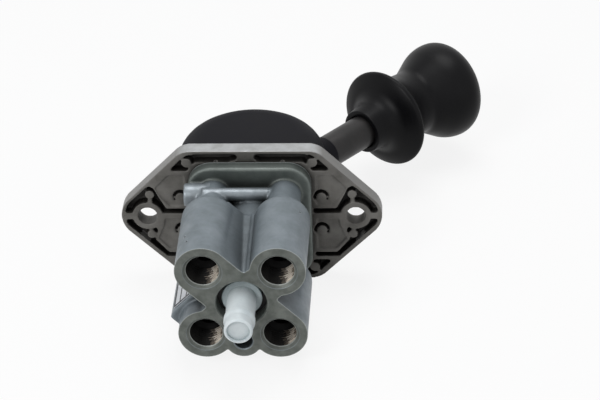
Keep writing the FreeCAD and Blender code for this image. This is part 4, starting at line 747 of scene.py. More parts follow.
@dataclass(frozen=True)
class FlangeCasting:
    """The bare die-cast plate with its recesses, knobs, pegs and bearing ears. Sizes in millimetres.

    Outlines are corners (x, z) of the right half; the left half mirrors them.
    """

    voxel: float = 0.42
    rounds: int = 6
    keep: float = 0.4
    face: float = -8.0
    web: float = -2.8
    root: float = 1.0
    panel_floor: float = -7.4
    peg_floor: float = -5.0
    peg_top: float = -7.6
    bolt_x: float = 49.0
    bolt_hole_radius: float = 4.5
    boss_radius: float = 7.3
    half_height: float = 35.0
    shoulder: float = 66.54
    tip_radius: float = 12.4
    rim_width: float = 1.2
    rim_side: float = 0.6
    field: tuple[Point, ...] = (
        (29.6, 32.4), (31.0, 32.4), (55.2, 8.2), (57.9, 5.0), (59.4, 0.0), (57.9, -5.0), (55.2, -8.2),
        (31.0, -32.4), (29.6, -32.4))
    upper_recess: tuple[Point, ...] = (
        (59.0, 1.5), (59.3, 3.2), (58.3, 5.8), (56.4, 8.2), (54.2, 10.3), (51.8, 12.6), (49.6, 14.8),
        (47.6, 16.3), (45.6, 15.2), (44.6, 13.2), (42.6, 8.8), (41.2, 6.2), (40.3, 4.4), (39.5, 3.9),
        (29.0, 3.9), (29.0, 1.5))
    lower_recess: tuple[Point, ...] = (
        (59.0, -1.8), (59.2, -3.4), (57.8, -5.6), (50.2, -13.2), (41.6, -21.8), (41.0, -22.5),
        (29.5, -22.5), (29.5, -20.2), (40.2, -20.2), (46.2, -13.0), (44.6, -10.8), (44.9, -7.5),
        (46.0, -4.0), (52.0, -1.8))
    corner_recess: tuple[Point, ...] = (
        (29.1, 24.6), (36.6, 24.6), (36.4, 25.8), (31.4, 31.2), (28.5, 33.0), (24.0, 33.3), (24.0, 30.3),
        (26.75, 27.75))
    upper_panel: tuple[Point, ...] = (
        (30.6, 5.5), (38.5, 5.5), (44.0, 12.0), (45.0, 15.3), (38.3, 22.3), (30.6, 22.3))
    lower_panel: tuple[Point, ...] = (
        (30.6, -1.3), (41.2, -1.3), (41.6, -5.0), (43.4, -9.5), (44.8, -12.4), (39.5, -18.3), (30.6, -18.3))
    top_slots: tuple[tuple[float, float], ...] = ((-26.8, -8.4), (3.3, 27.0))
    slot_low: float = 29.3
    slot_high: float = 33.3
    slot_rounding: float = 1.4
    recess_rounding: float = 0.8
    panel_rounding: float = 1.2
    knobs: tuple[tuple[float, float, float], ...] = (
        (47.4, 11.7, 2.2), (47.7, -10.2, 2.2), (29.2, 28.8, 2.4), (29.2, -28.8, 2.4))
    necks: tuple[tuple[Point, ...], ...] = (
        ((46.4, 6.5), (48.6, 6.5), (48.6, 10.5), (46.4, 10.5)),
        ((46.8, -9.5), (48.8, -9.5), (48.8, -6.5), (46.8, -6.5)),
        ((25.6, 26.6), (27.2, 25.0), (30.4, 28.2), (28.6, 30.0)),
        ((27.2, -25.0), (25.6, -26.6), (28.6, -30.0), (30.4, -28.2)))
    pegs: tuple[Point, ...] = ((32.9, 9.8), (32.9, -8.2))
    peg_radius: float = 2.6
    peg_gap: float = 1.0
    peg_ring_rise: float = 0.5
    neck_drop: float = 0.6
    boss_bite: float = 0.2

    def build(self) -> None:
        """Makes the plate: fills the plain field, cuts its recesses and stands the knobs in them."""
        plate = node_copy("flange_copy", "flange_plate")
        top = self.web + self.root / 2
        carve(plate, [prism("field", self.field, self.face, top, (side, 1)) for side in (1, -1)], "UNION")
        carve(plate, self.cutters())
        casting = melted("flange_casting", [plate] + self.standing(), self.voxel, self.rounds, self.keep)
        present(casting, Body.HOUSING, Slot.BARE_CASTING, "flange_plate", angle=50,
                finishes=(BARE_DIE_CAST, TRIMMED_DIE_CAST), chooser=self.face_finish)

    def bolt_place(self, side: int) -> Matrix:
        """Where the bolt hole of a side lies."""
        return Matrix.Translation((side * self.bolt_x * MM, 0, 0))

    def cutters(self) -> list[Piece]:
        """Recesses, panels, slots and bolt bores of both halves."""
        out = self.face - 1
        cutters = [prism("slot", ((low, self.slot_low), (high, self.slot_low), (high, self.slot_high),
                                  (low, self.slot_high)), out, self.web, (1, up), self.slot_rounding)
                   for low, high in self.top_slots for up in (1, -1)]
        inside = self.boss_radius - self.boss_bite
        for side in (1, -1):
            recesses = ((self.upper_recess, 1), (self.lower_recess, 1), (self.corner_recess, 1),
                        (self.corner_recess, -1))
            cutters += [prism("recess", outline, out, self.web, (side, up), self.recess_rounding)
                        for outline, up in recesses]
            cutters += [prism("panel", outline, out, self.panel_floor, (side, 1), self.panel_rounding)
                        for outline in (self.upper_panel, self.lower_panel)]
            for x, z in self.pegs:
                x, z = side * x, z + self.peg_ring_rise
                cutters.append(cylinder("peg_ring", self.peg_radius + self.peg_gap, (x, out, z),
                                        (x, self.peg_floor, z), 32))
            cutters.append(lathe("boss_bore", [
                (0, out), (inside, out), (inside, self.web), (self.bolt_hole_radius, self.web),
                (self.bolt_hole_radius, 1), (0, 1)], self.bolt_place(side), 64))
        return cutters

    def standing(self) -> list[Piece]:
        """Bolt bosses, knobs with their necks, and pegs."""
        pieces = []
        foot = self.web + self.root
        for side in (1, -1):
            pieces.append(lathe("boss", [
                (self.bolt_hole_radius, self.face), (self.boss_radius, self.face), (self.boss_radius, foot),
                (self.bolt_hole_radius, foot)], self.bolt_place(side), 64))
            pieces += [cylinder("knob", radius, (side * x, self.face, z), (side * x, foot, z), 32)
                       for x, z, radius in self.knobs]
            pieces += [prism("neck", outline, self.face + self.neck_drop, foot, (side, 1))
                       for outline in self.necks]
            pieces += [cylinder("peg", self.peg_radius, (side * x, self.peg_top, z), (side * x, foot, z), 32)
                       for x, z in self.pegs]
        return pieces

    def face_finish(self, face: bpy.types.MeshPolygon) -> int:
        """Trimmed metal on the plate's outer edge, cast skin elsewhere."""
        spot = face.center / MM
        across, up = abs(spot.x), abs(spot.z)
        rim = min(self.half_height - up, (self.shoulder - across - up) / math.sqrt(2))
        if across + up * 0.01 > self.bolt_x:
            rim = min(rim, self.tip_radius - math.hypot(across - self.bolt_x, up))
        outer = rim < self.rim_width and spot.y < 0 and abs(face.normal.y) < self.rim_side
        return int(outer)


@dataclass(frozen=True)
class BodyCasting:
    """The blue-grey casting with its milled port face, ports, exhaust and lobe. Sizes in millimetres."""

    voxel: float = 0.5
    rounds: int = 6
    keep: float = 0.4
    port_face: float = 80.4
    base_face: float = 8.8
    port_offset: float = 16.5
    thread_root: float = 8.3
    thread_crest: float = 7.19
    thread_depths: tuple[float, ...] = (14.2, 15.0, 13.8, 14.6)
    thread_pitch: float = 1.5
    thread_rows: int = 8
    thread_segments: int = 72
    thread_clear: float = 0.1
    thread_bite: float = 0.15
    thread_gap: float = 0.3
    drill_radius: float = 5.2
    drill_depth: float = 24.0
    drill_point: float = 0.6
    mouth_radius: float = 8.69
    mouth_depth: float = 1.35
    exhaust_radius: float = 11.3
    exhaust_depth: float = 9.5
    chamber_radius: float = 10.0
    chamber_depth: float = 28.4
    lobe_drop: float = 20.4
    lobe_radius: float = 4.15
    lobe_depth: float = 14.0
    overrun: float = 2.0
    reach: float = 60.0
    filling: float = 0.5
    mouth_filling: float = 0.6
    hole_filling: float = 0.3
    mouth_lip: float = 0.15
    mouth_break: float = 0.1
    exhaust_break: float = 0.5
    lobe_break: float = 0.4
    drill_tip: float = 2.5
    lobe_tip: float = 2.0
    pit_depth: float = 0.5
    tool_start: float = -3.0
    tool_clear: float = 2.2
    skim: float = 0.01
    channel_from: Place = (-21.0, -24.5, 21.8)
    channel_to: Place = (9.0, -19.6, 18.8)
    channel_radius: float = 3.2
    stub_end: float = -17.5
    stub_y: float = -19.1
    stub_z: float = 18.5
    stub_radius: float = 5.7
    highlight_margin: float = 0.35
    painted_lit_at: float = -50.0
    painted_lit_half: float = 15.0
    stain_and_shade_reach: float = 16.0
    shaded_valley_reach: float = 34.0
    valley_half_width: float = 9.0
    valley_half_height: float = 11.0
    pit_radius: float = 0.65
    pits: tuple[tuple[float, float, float], ...] = (
        (-24.7, -66.2, 25.6), (-23.6, -71.6, 26.7), (25.3, -46.1, 25.8))

    def corners(self) -> list[Point]:
        """Centres of the four ports."""
        both = (-self.port_offset, self.port_offset)
        return [(x, z) for x in both for z in both]

    def stretched(self, point: Vector) -> Vector:
        """Moves the milled faces outwards, so that melting rounds no edge of theirs."""
        moved = point.copy()
        if point.y < -(self.port_face - 0.05) * MM:
            moved.y -= self.overrun * MM
        elif point.y > -(self.base_face + 0.05) * MM:
            moved.y += self.overrun * MM
        return moved

    def filled(self, radius: float, x: float, z: float, depth: float) -> Piece:
        """Plug from over the port face down into it, which keeps melting out of a hole."""
        low, high = -self.overrun - self.port_face, depth - self.port_face
        return cylinder("plug", radius, (x, low, z), (x, high, z))

    def bored(self, name: str, outline: Sequence[Point], x: float, z: float, segments: int) -> Piece:
        """Tool with an outline of radius and depth below the port face."""
        place = Matrix.Translation(Vector((x, -self.port_face, z)) * MM)
        return lathe(name, outline, place, segments)

    def build(self) -> None:
        """Makes the casting: fills its holes, melts it, mills its faces, bores it and adds the threads."""
        lobe_end = self.lobe_depth + self.lobe_radius * self.drill_point
        pieces = [node_copy("body_copy", "valve_body", self.stretched)]
        pieces += [self.filled(self.mouth_radius + self.mouth_filling, x, z, deep + self.filling)
                   for (x, z), deep in zip(self.corners(), self.thread_depths)]
        over = self.hole_filling
        pieces.append(self.filled(self.exhaust_radius + over, 0, 0, self.exhaust_depth + self.filling))
        pieces.append(self.filled(self.lobe_radius + over, 0, -self.lobe_drop, lobe_end + over))
        pieces.append(cylinder("channel", self.channel_radius, self.channel_from, self.channel_to, 48))
        casting = melted("valve_casting", pieces, self.voxel, self.rounds, self.keep)
        far = self.reach
        carve(casting, [
            box("face_mill", (-far, -self.port_face - far, -far), (far, -self.port_face, far)),
            box("base_mill", (-far, -self.base_face, -far), (far, far, far)),
            joined("port_tools", self.port_tools())])
        present(casting, Body.HOUSING, Slot.BODY_CASTING, "valve_body", angle=32, finishes=(
            BLUE_DIE_CAST, MILLED_FACE, PAINTED_SHADE_THREAD, OILED_AND_SHADED_DIE_CAST, PAINTED_HIGHLIGHT_DIE_CAST),
            chooser=self.face_finish)
        self.build_threads()

    def port_tools(self) -> list[Piece]:
        """Tools for the ports, the exhaust, the lobe's hole and the blow holes."""
        top, clear = self.tool_start, self.mouth_radius + self.tool_clear
        lip, cone = self.mouth_radius - self.mouth_depth, self.mouth_depth + self.mouth_lip
        step = (self.thread_root - self.drill_radius) * self.drill_point
        tools = [self.bored("port_tool", [
            (0, top), (clear, top), (clear, -self.skim), (self.mouth_radius + self.mouth_lip, -self.skim),
            (self.mouth_radius, self.mouth_break), (lip, self.mouth_depth), (lip, cone),
            (self.thread_root, cone + self.mouth_break), (self.thread_root, deep),
            (self.drill_radius, deep + step), (self.drill_radius, self.drill_depth),
            (0, self.drill_depth + self.drill_tip)], x, z, 72)
            for (x, z), deep in zip(self.corners(), self.thread_depths)]
        mouth = self.exhaust_radius + self.exhaust_break
        tools.append(self.bored("exhaust_tool", [
            (0, top), (mouth, top), (mouth, 0), (self.exhaust_radius, self.exhaust_break),
            (self.exhaust_radius, self.exhaust_depth), (self.chamber_radius, self.exhaust_depth),
            (self.chamber_radius, self.chamber_depth), (0, self.chamber_depth)], 0, 0, 96))
        mouth = self.lobe_radius + self.lobe_break
        tools.append(self.bored("lobe_tool", [
            (0, top), (mouth, top), (mouth, 0), (self.lobe_radius, self.lobe_break),
            (self.lobe_radius, self.lobe_depth), (0, self.lobe_depth + self.lobe_tip)],
            0, -self.lobe_drop, 48))
        deep = self.pit_depth
        tools += [cylinder("pit", self.pit_radius, (x, y - deep, z), (x, y + deep, z), 10, 0.8)
                  for x, y, z in self.pits]
        return tools

    def face_finish(self, face: bpy.types.MeshPolygon) -> int:
        """Milled face, bore in painted shade, cast skin, skin in painted shade with an oil stain, or channel
        with a painted highlight, from where a face lies.
        """
        spot = face.center / MM
        if spot.y < -self.port_face + 0.02 and face.normal.y < -0.9:
            return 1
        if spot.y < -self.port_face + self.drill_depth + 2:
            for x, z in self.corners():
                if math.hypot(spot.x - x, spot.z - z) < self.mouth_radius + 0.05:
                    # Beyond the mouth's cone the bore takes the painted shade
                    return 1 if spot.y < -self.port_face + self.mouth_depth + 0.2 else 2
            if math.hypot(spot.x, spot.z) < self.exhaust_radius + 0.45:
                return 1
        # The side channel and its stub take the painted highlight
        if spot.x < self.channel_to[0] and -self.shaded_valley_reach < spot.y < -self.stain_and_shade_reach + 1:
            near, far = Vector(self.channel_from), Vector(self.channel_to)
            share = min(max((spot.x - near.x) / (far.x - near.x), 0.0), 1.0)
            axis = near.lerp(far, share)
            if math.hypot(spot.y - axis.y, spot.z - axis.z) < self.channel_radius + self.highlight_margin:
                return 4
            if (spot.x < self.stub_end
                    and math.hypot(spot.y - self.stub_y, spot.z - self.stub_z) < self.stub_radius):
                return 4
        # Painted shade in the valley between the bosses below the channel; near the flange a painted shade
        # together with an oil stain
        shaded = (spot.y > -self.shaded_valley_reach and abs(spot.x) < self.valley_half_width
                  and abs(spot.z) < self.valley_half_height)
        return 3 if spot.y > -self.stain_and_shade_reach or shaded else 0

    def thread_finish(self, spot: Vector) -> int:
        """Painted lit, half-lit or shaded thread, from where a face lies round the bore."""
        ragged = 5 * math.sin(3.1 * spot.y) + 4 * math.sin(7.7 * spot.y + 1.3)
        away = abs(math.degrees(math.atan2(spot.z, spot.x)) - self.painted_lit_at + ragged)
        return 2 if away < self.painted_lit_half else 1 if away < 2 * self.painted_lit_half else 0

    def build_threads(self) -> None:
        """Cut threads of the four ports."""
        for number, ((x, z), deep) in enumerate(zip(self.corners(), self.thread_depths), start=1):
            sleeve = self.thread(f"port_thread_{number}", x, z, deep)
            centre = Vector((x, 0, z))
            present(sleeve, Body.HOUSING, Slot.BODY_CASTING, angle=60,
                    finishes=(PAINTED_SHADE_THREAD, PAINTED_HALF_LIT_THREAD, PAINTED_LIT_THREAD),
                    chooser=lambda face, middle=centre: self.thread_finish(face.center / MM - middle))

    def thread(self, name: str, x: float, z: float, deep: float) -> Piece:
        """Sleeve with a helical ridge inside, which starts at the mouth's cone.

        Args:
            name: Name of the sleeve.
            x: Centre of the port.
            z: Centre of the port.
            deep: Depth of the thread below the port face.

        Returns:
            The sleeve.
        """
        start, rows, segments = self.mouth_depth + self.thread_gap, self.thread_rows, self.thread_segments
        count = int((deep - start) / self.thread_pitch * rows)
        height = self.thread_root - self.thread_crest - 2 * self.thread_clear
        back = self.thread_root + self.thread_bite
        points: list[Place] = []
        faces: list[Face] = []

        def ring(along: float, radii: Sequence[float]) -> None:
            """Adds a ring of points with a radius each."""
            for k, radius in enumerate(radii):
                turn = 2 * math.pi * k / segments
                points.append((x + radius * math.cos(turn), along - self.port_face,
                               z + radius * math.sin(turn)))

        for row in range(count + 1):
            along = start + row * self.thread_pitch / rows
            fade = min(1.0, row / rows)
            ridges = [0.5 + 0.5 * math.cos(2 * math.pi * (along / self.thread_pitch - k / segments))
                      for k in range(segments)]
            ring(along, [self.thread_crest + self.thread_clear + height * (1 - fade * (1 - ridge))
                         for ridge in ridges])
        for row in range(count):
            for k in range(segments):
                here, there = row * segments + k, row * segments + (k + 1) % segments
                faces.append((here, here + segments, there + segments, there))
        base, last = len(points), count * segments
        for row in (0, count):
            ring(start + row * self.thread_pitch / rows, [back] * segments)
        for k in range(segments):
            after = (k + 1) % segments
            near, far = base + k, base + segments + k
            near_after, far_after = base + after, base + segments + after
            faces += [(near, near_after, far_after, far), (k, after, near_after, near),
                      (last + k, far, far_after, last + after)]
        sleeve = mesh_object(name, points, faces)
        outward(sleeve)
        return sleeve


# Hood and lever

@dataclass(frozen=True)
class Hood:
    """Black half drum with its slot for the lever. Sizes in millimetres."""

    half_height: float = 33.5
    shoulder: float = 13.5
    wall: float = 2.5
    slot_half_width: float = 11.0
    slot_margin: float = 18.0
    boss_radius: float = 3.6
    boss_height: float = 10.0
    screw_x: float = 15.5
    screw_z: float = 25.2
    shoulder_steps: int = 10
    arc_steps: int = 64
    wall_steps: int = 4
    slot_steps: int = 48

    def shell(self, offset: float) -> tuple[list[Place], list[list[int]]]:
        """Rings of one skin of the hood.

        Args:
            offset: How far the skin lies inside the outer one.

        Returns:
            Points, and the point numbers of each ring from the lower end cap to the upper one.
        """
        radius, half, bend = (size - offset for size in (HOOD_RADIUS, self.half_height, self.shoulder))
        levels: list[Point] = []
        for k in range(self.shoulder_steps + 1):
            turn = math.pi / 2 * (1 - k / self.shoulder_steps)
            levels.append((-(half - bend) - bend * math.sin(turn), bend * (1 - math.cos(turn))))
        levels += [(-z, inset) for z, inset in reversed(levels)]
        wall = [PIVOT_HEIGHT * k / self.wall_steps for k in range(self.wall_steps)]
        turns = [math.pi * k / self.arc_steps for k in range(self.arc_steps + 1)]
        points: list[Place] = []
        rings: list[list[int]] = []
        for z, inset in levels:
            reach = radius - inset
            path = [(reach, y) for y in wall]
            path += [(reach * math.cos(turn), PIVOT_HEIGHT + reach * math.sin(turn)) for turn in turns]
            path += [(-reach, y) for y in reversed(wall)]
            rings.append(list(range(len(points), len(points) + len(path))))
            points += [(x, y, z) for x, y in path]
        return points, rings

    def build(self) -> None:
        """Makes the hood with its slot and screw bosses."""
        outer_points, outer = self.shell(0.0)
        inner_points, inner = self.shell(self.wall)
        shift = len(outer_points)
        inner = [[number + shift for number in ring] for ring in inner]
        faces: list[Face] = []
        for rings in (outer, inner):
            for low, high in zip(rings, rings[1:]):
                faces += [(low[k], low[k + 1], high[k + 1], high[k]) for k in range(len(low) - 1)]
            faces += [tuple(rings[0]), tuple(rings[-1])]
        for end in (0, -1):
            faces += [(near[end], far[end], far_in[end], near_in[end])
                      for near, far, near_in, far_in in zip(outer, outer[1:], inner, inner[1:])]
        for ring, ring_in in ((outer[0], inner[0]), (outer[-1], inner[-1])):
            faces.append((ring[0], ring[-1], ring_in[-1], ring_in[0]))
        hood = mesh_object("hood_moulding", outer_points + inner_points, faces)
        outward(hood)
        carve(hood, [self.slot_tool()])
        bosses = [cylinder("boss", self.boss_radius, (x, 0, z), (x, self.boss_height, z), 32)
                  for x in (-self.screw_x, self.screw_x) for z in (-self.screw_z, self.screw_z)]
        present(joined("hood_moulding", [hood] + bosses), Body.HOUSING, Slot.BLACK_MOULDING, "hood", angle=40)

    def slot_tool(self) -> Piece:
        """Sector that opens the hood where the lever moves."""
        first = 90 - LEVER_LEAN - self.slot_margin
        last = 90 - LEVER_LEAN + LEVER_SWING + self.slot_margin
        reach = HOOD_RADIUS + 4
        outline = [(0.0, PIVOT_HEIGHT)]
        for k in range(self.slot_steps + 1):
            turn = math.radians(first + (last - first) * k / self.slot_steps)
            outline.append((reach * math.cos(turn), PIVOT_HEIGHT + reach * math.sin(turn)))
        ends = ([(x, y, z) for x, y in outline] for z in (-self.slot_half_width, self.slot_half_width))
        return between("slot_tool", *ends)


@dataclass(frozen=True)
class Lever:
    """Steel tube with its black cuff, and the moulded grip. Sizes in millimetres along the lever."""

    tube_radius: float = 8.2
    tube_bore: float = 6.4
    tube_start: float = 34.5
    tube_end: float = 118.0
    cuff_start: float = 33.0
    cuff_end: float = 52.5
    cuff_foot_radius: float = 9.8
    cuff_top_radius: float = 8.9
    cuff_bevel: float = 0.9
    cuff_gap: float = 1.5
    grip_start: float = 79.5
    sliding_gap: float = 0.3
    segments: int = 112
    mouth_chamfer: float = 0.4
    lip: float = 0.5
    lip_radius: float = 11.2
    throat_radius: float = 12.4
    throat_length: float = 8.0
    throat_curve: float = 8.0
    flare_height: float = 93.6
    flare_radius: float = 17.6
    flare_curve: float = 20.0
    collar_height: float = 97.8
    collar_radius: float = 24.7
    collar_rim: float = 3.6
    collar_slope: float = 0.6
    neck_height: float = 118.1
    neck_radius: float = 16.6
    neck_blend: float = 7.0
    neck_round: float = 7.5
    bulb_tilt: float = 9.5
    bulb_reach: float = 21.5
    bulb_radius: float = 25.15
    bulb_length: float = 35.0
    bulb_round: float = 18.7
    bulb_flare: float = 31.0
    tip_round: float = 10.5
    grip_screw_radius: float = 4.2
    rod_end: float = 136.0
    rod_collar_top: float = 64.0
    grip_lift: float = 6.0

    def place(self) -> Matrix:
        """Turn and shift from +Y to the lever's own line at rest."""
        return (Matrix.Translation(Vector((0, PIVOT_HEIGHT, 0)) * MM)
                @ Matrix.Rotation(-math.radians(LEVER_LEAN), 4, "Z"))

    def build(self) -> None:
        """Makes tube, cuff and grip."""
        tube = lathe("lever_tube_drawn", softened([
            (self.tube_bore, self.tube_start), (self.tube_radius, self.tube_start),
            (self.tube_radius, self.tube_end), (self.tube_bore, self.tube_end)], 0.4), self.place())
        present(tube, Body.LEVER, Slot.DARK_TUBE, "lever_tube")
        inside = self.tube_radius + 0.02
        cuff = lathe("lever_cuff_moulded", softened([
            (inside, self.cuff_start), (self.cuff_foot_radius, self.cuff_start),
            (self.cuff_foot_radius, HOOD_RADIUS + self.cuff_gap),
            (self.cuff_top_radius, self.cuff_end - self.cuff_bevel),
            (self.tube_radius + 0.1, self.cuff_end), (inside, self.cuff_end)], 0.3), self.place())
        present(cuff, Body.LEVER, Slot.BLACK_MOULDING, "lever_cuff")
        present(self.grip(), Body.GRIP, Slot.GRIP_PLASTIC, "grip", angle=50)
        self.lock_spring()

    def lock_spring(self) -> None:
        """Spring on the pull rod, which the rod's collar presses together when the grip is lifted; here it is
        copied from its node as it is and rides on the grip.
        """
        spring = node_copy("lock_spring_wound", "lock_spring")
        present(spring, Body.GRIP, Slot.SPRING_STEEL, "lock_spring", angle=60)
        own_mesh(spring)

    def sleeve_outline(self) -> list[Point]:
        """Radius and height of the grip from its lip to the neck."""
        low = self.collar_height - self.collar_rim / 2
        high = self.collar_height + self.collar_rim / 2
        rim = self.collar_radius - 2 * self.collar_slope
        fall, rise = rim - self.neck_radius, self.neck_height - high
        waist = (fall ** 2 + rise ** 2) / (2 * fall)
        points: list[Point] = [(self.lip_radius - self.lip, self.grip_start)]
        points += arc(points[0], (self.lip_radius, self.grip_start + self.lip), self.lip, 1, 3)
        points += line(points[-1], (self.throat_radius, self.grip_start + self.throat_length), 4)
        points += arc(points[-1], (self.flare_radius, self.flare_height), self.throat_curve, -1, 10)
        points += arc(points[-1], (self.collar_radius - self.collar_slope, low), self.flare_curve, 1, 8)
        points += arc(points[-1], (rim, high), self.collar_rim / 2 + 0.1, 1, 12)
        points += arc(points[-1], (self.neck_radius, self.neck_height), waist, -1, 20)
        return points

    def bulb_outline(self) -> list[Point]:
        """Radius and height of the bulb above the neck, along the bulb's own axis."""
        flare = math.radians(self.bulb_flare)
        near = (self.neck_radius + self.neck_round * (1 - math.cos(flare)), self.neck_round * math.sin(flare))
        far = (self.bulb_radius - self.bulb_round * (1 - math.cos(flare)),
               self.bulb_reach - self.bulb_round * math.sin(flare))
        tip = self.bulb_length - self.bulb_reach
        side = self.bulb_radius - self.tip_round
        dome = (side ** 2 + tip ** 2 - self.tip_round ** 2) / (2 * (tip - self.tip_round))
        share = self.tip_round / (dome - self.tip_round)
        knee = (side * (1 + share), self.bulb_reach + (dome - tip) * share)
        points = arc((self.neck_radius, 0.0), near, self.neck_round, -1, 6)
        points += line(near, far, 5)
        points += arc(far, (self.bulb_radius, self.bulb_reach), self.bulb_round, 1, 12)
        points += arc(points[-1], knee, self.tip_round, 1, 14)
        points += arc(points[-1], (0.0, self.bulb_length), dome, 1, 14)
        return points

    def ring_place(self, height: float) -> Matrix:
        """Where a ring of the grip lies, on the lever's line below the neck and on the bulb's above it."""
        tilt = math.radians(self.bulb_tilt)
        reach = height - self.neck_height
        t = min(max((reach + self.neck_blend) / (2 * self.neck_blend), 0.0), 1.0)
        neck = Vector((0, self.neck_height, 0))
        beyond = Vector((math.sin(tilt), math.cos(tilt), 0))
        if t <= 0.0:
            centre = Vector((0, height, 0))
        elif t >= 1.0:
            centre = neck + beyond * reach
        else:
            first = neck - Vector((0, self.neck_blend, 0))
            last = neck + beyond * self.neck_blend
            centre = first * (1 - t) ** 2 + neck * 2 * t * (1 - t) + last * t ** 2
        turn = tilt * t * t * (3 - 2 * t)
        return Matrix.Translation(centre) @ Matrix.Rotation(-turn, 4, "Z")

    def grip(self) -> Piece:
        """Grip with a bore for the tube; its bulb leans a little more than the lever."""
        bore, bore_end = self.tube_radius + self.sliding_gap, self.tube_end + 1
        inside = [(0.0, self.rod_end), (self.grip_screw_radius, self.rod_end),
                  (self.grip_screw_radius, bore_end), (bore, bore_end),
                  (bore, self.grip_start + self.mouth_chamfer), (bore + self.mouth_chamfer, self.grip_start)]
        outside = self.sleeve_outline()
        outside += [(radius, self.neck_height + height) for radius, height in self.bulb_outline()]
        rings = [(radius, Matrix.Translation((0, height, 0))) for radius, height in inside]
        rings += [(radius, self.ring_place(height)) for radius, height in outside]
        return round_skin("grip_moulding", rings, self.place(), self.segments)


# Small fittings

@dataclass(frozen=True)
class ExhaustNozzle:
    """Milky hose nozzle in the exhaust recess. Sizes in millimetres from the mounting face."""

    seat: float = 73.4
    spigot: float = 3.6
    disc: float = 2.9
    disc_radius: float = 9.0
    tube_radius: float = 6.4
    barb_at: float = 92.0
    barb_radius: float = 6.95
    tip_radius: float = 6.3
    tip: float = 102.0
    bore: float = 4.8
    barb: float = 2.0
    barb_rise: float = 0.6
    barb_fall: float = 1.8
    tip_edge: float = 0.6
    chamfer: float = 0.8
    rounding: float = 0.35
    skin_at: float = 1.3
    skin: float = 1.0

    def build(self) -> None:
        """Makes the nozzle with its disc, barb, tapered tip and the skin that closes it."""
        skin_front = -self.tip + self.skin_at
        skin_back = skin_front + self.skin
        foot, disc_top = -self.seat + self.spigot, -self.seat - self.disc
        barb_low = -self.barb_at - self.barb_rise
        barb_high = barb_low - self.barb
        nozzle = lathe("exhaust_nozzle_moulded", softened([
            (self.bore, foot), (self.tube_radius, foot), (self.tube_radius, -self.seat),
            (self.disc_radius, -self.seat), (self.disc_radius, disc_top), (self.tube_radius + 0.2, disc_top),
            (self.tube_radius, -self.barb_at), (self.barb_radius, barb_low), (self.barb_radius, barb_high),
            (self.tip_radius, barb_high - self.barb_fall), (self.tip_radius, -self.tip + self.tip_edge),
            (self.tip_radius - self.chamfer, -self.tip), (self.bore + 0.5, -self.tip),
            (self.bore, -self.tip + self.chamfer), (self.bore, skin_front),
            (0.0, skin_front), (0.0, skin_back), (self.bore, skin_back)], self.rounding))
        present(nozzle, Body.HOUSING, Slot.MILKY_PLASTIC, "exhaust_nozzle", angle=50)


@dataclass(frozen=True)
class PlateInk:
    """Black border and dividing lines printed on the blank plate. Sizes in millimetres."""

    line: float = 1.0
    proud: float = 0.04
    sunk: float = 0.1
    lean: float = 45.0
    corner_gap: float = 0.35
    divider_share: float = 0.35
    lengthwise: tuple[float, ...] = (0.34, 0.68)
    across: tuple[float, ...] = (0.62,)

    def build(self) -> None:
        """Makes the lines on the plate's outer face, which leans at 45 degrees."""
        low, high = (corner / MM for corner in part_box("blank_plate"))
        first = Vector((low.x, 0, low.z + self.corner_gap))
        last = Vector((high.x - self.corner_gap, 0, high.z))
        width, length = (last - first).length, high.y - low.y
        place = (Matrix.Translation(Vector((first.x, low.y, first.z)) * MM)
                 @ Matrix.Rotation(-math.radians(self.lean), 4, "Y"))
        right, top = width - self.line, length - self.line
        strips = [(0, 0, width, self.line), (0, top, width, length),
                  (0, self.line, self.line, top), (right, self.line, width, top)]
        half = self.line * self.divider_share
        strips += [(width * share - half, self.line, width * share + half, top) for share in self.lengthwise]
        strips += [(self.line, length * share - half, right, length * share + half) for share in self.across]
        pieces = [box("line", (start, near, -self.sunk), (end, far, self.proud), place)
                  for start, near, end, far in strips]
        ink = joined("plate_ink", pieces)
        dress(ink, Slot.LABEL_FILM, (BLACK_INK,))
        settle(ink, Body.HOUSING, Slot.LABEL_FILM)


# The collar in the exhaust recess is steel as dark as the tube
DARKER_NODES = {"exhaust_collar": Slot.DARK_TUBE}


def dress_nodes() -> None:
    """Gives every CAD node the finish of its material slot in the record."""
    for part in frame["record"]["subparts"]:
        name = part["node"]
        slot = DARKER_NODES.get(name, Slot(part["material_slot"]))
        dress(frame["nodes"][name], slot)
        smooth(frame["nodes"][name])
        LOG.info("node %s takes %s", name, SLOT_FINISH[slot].name)


# Light and camera

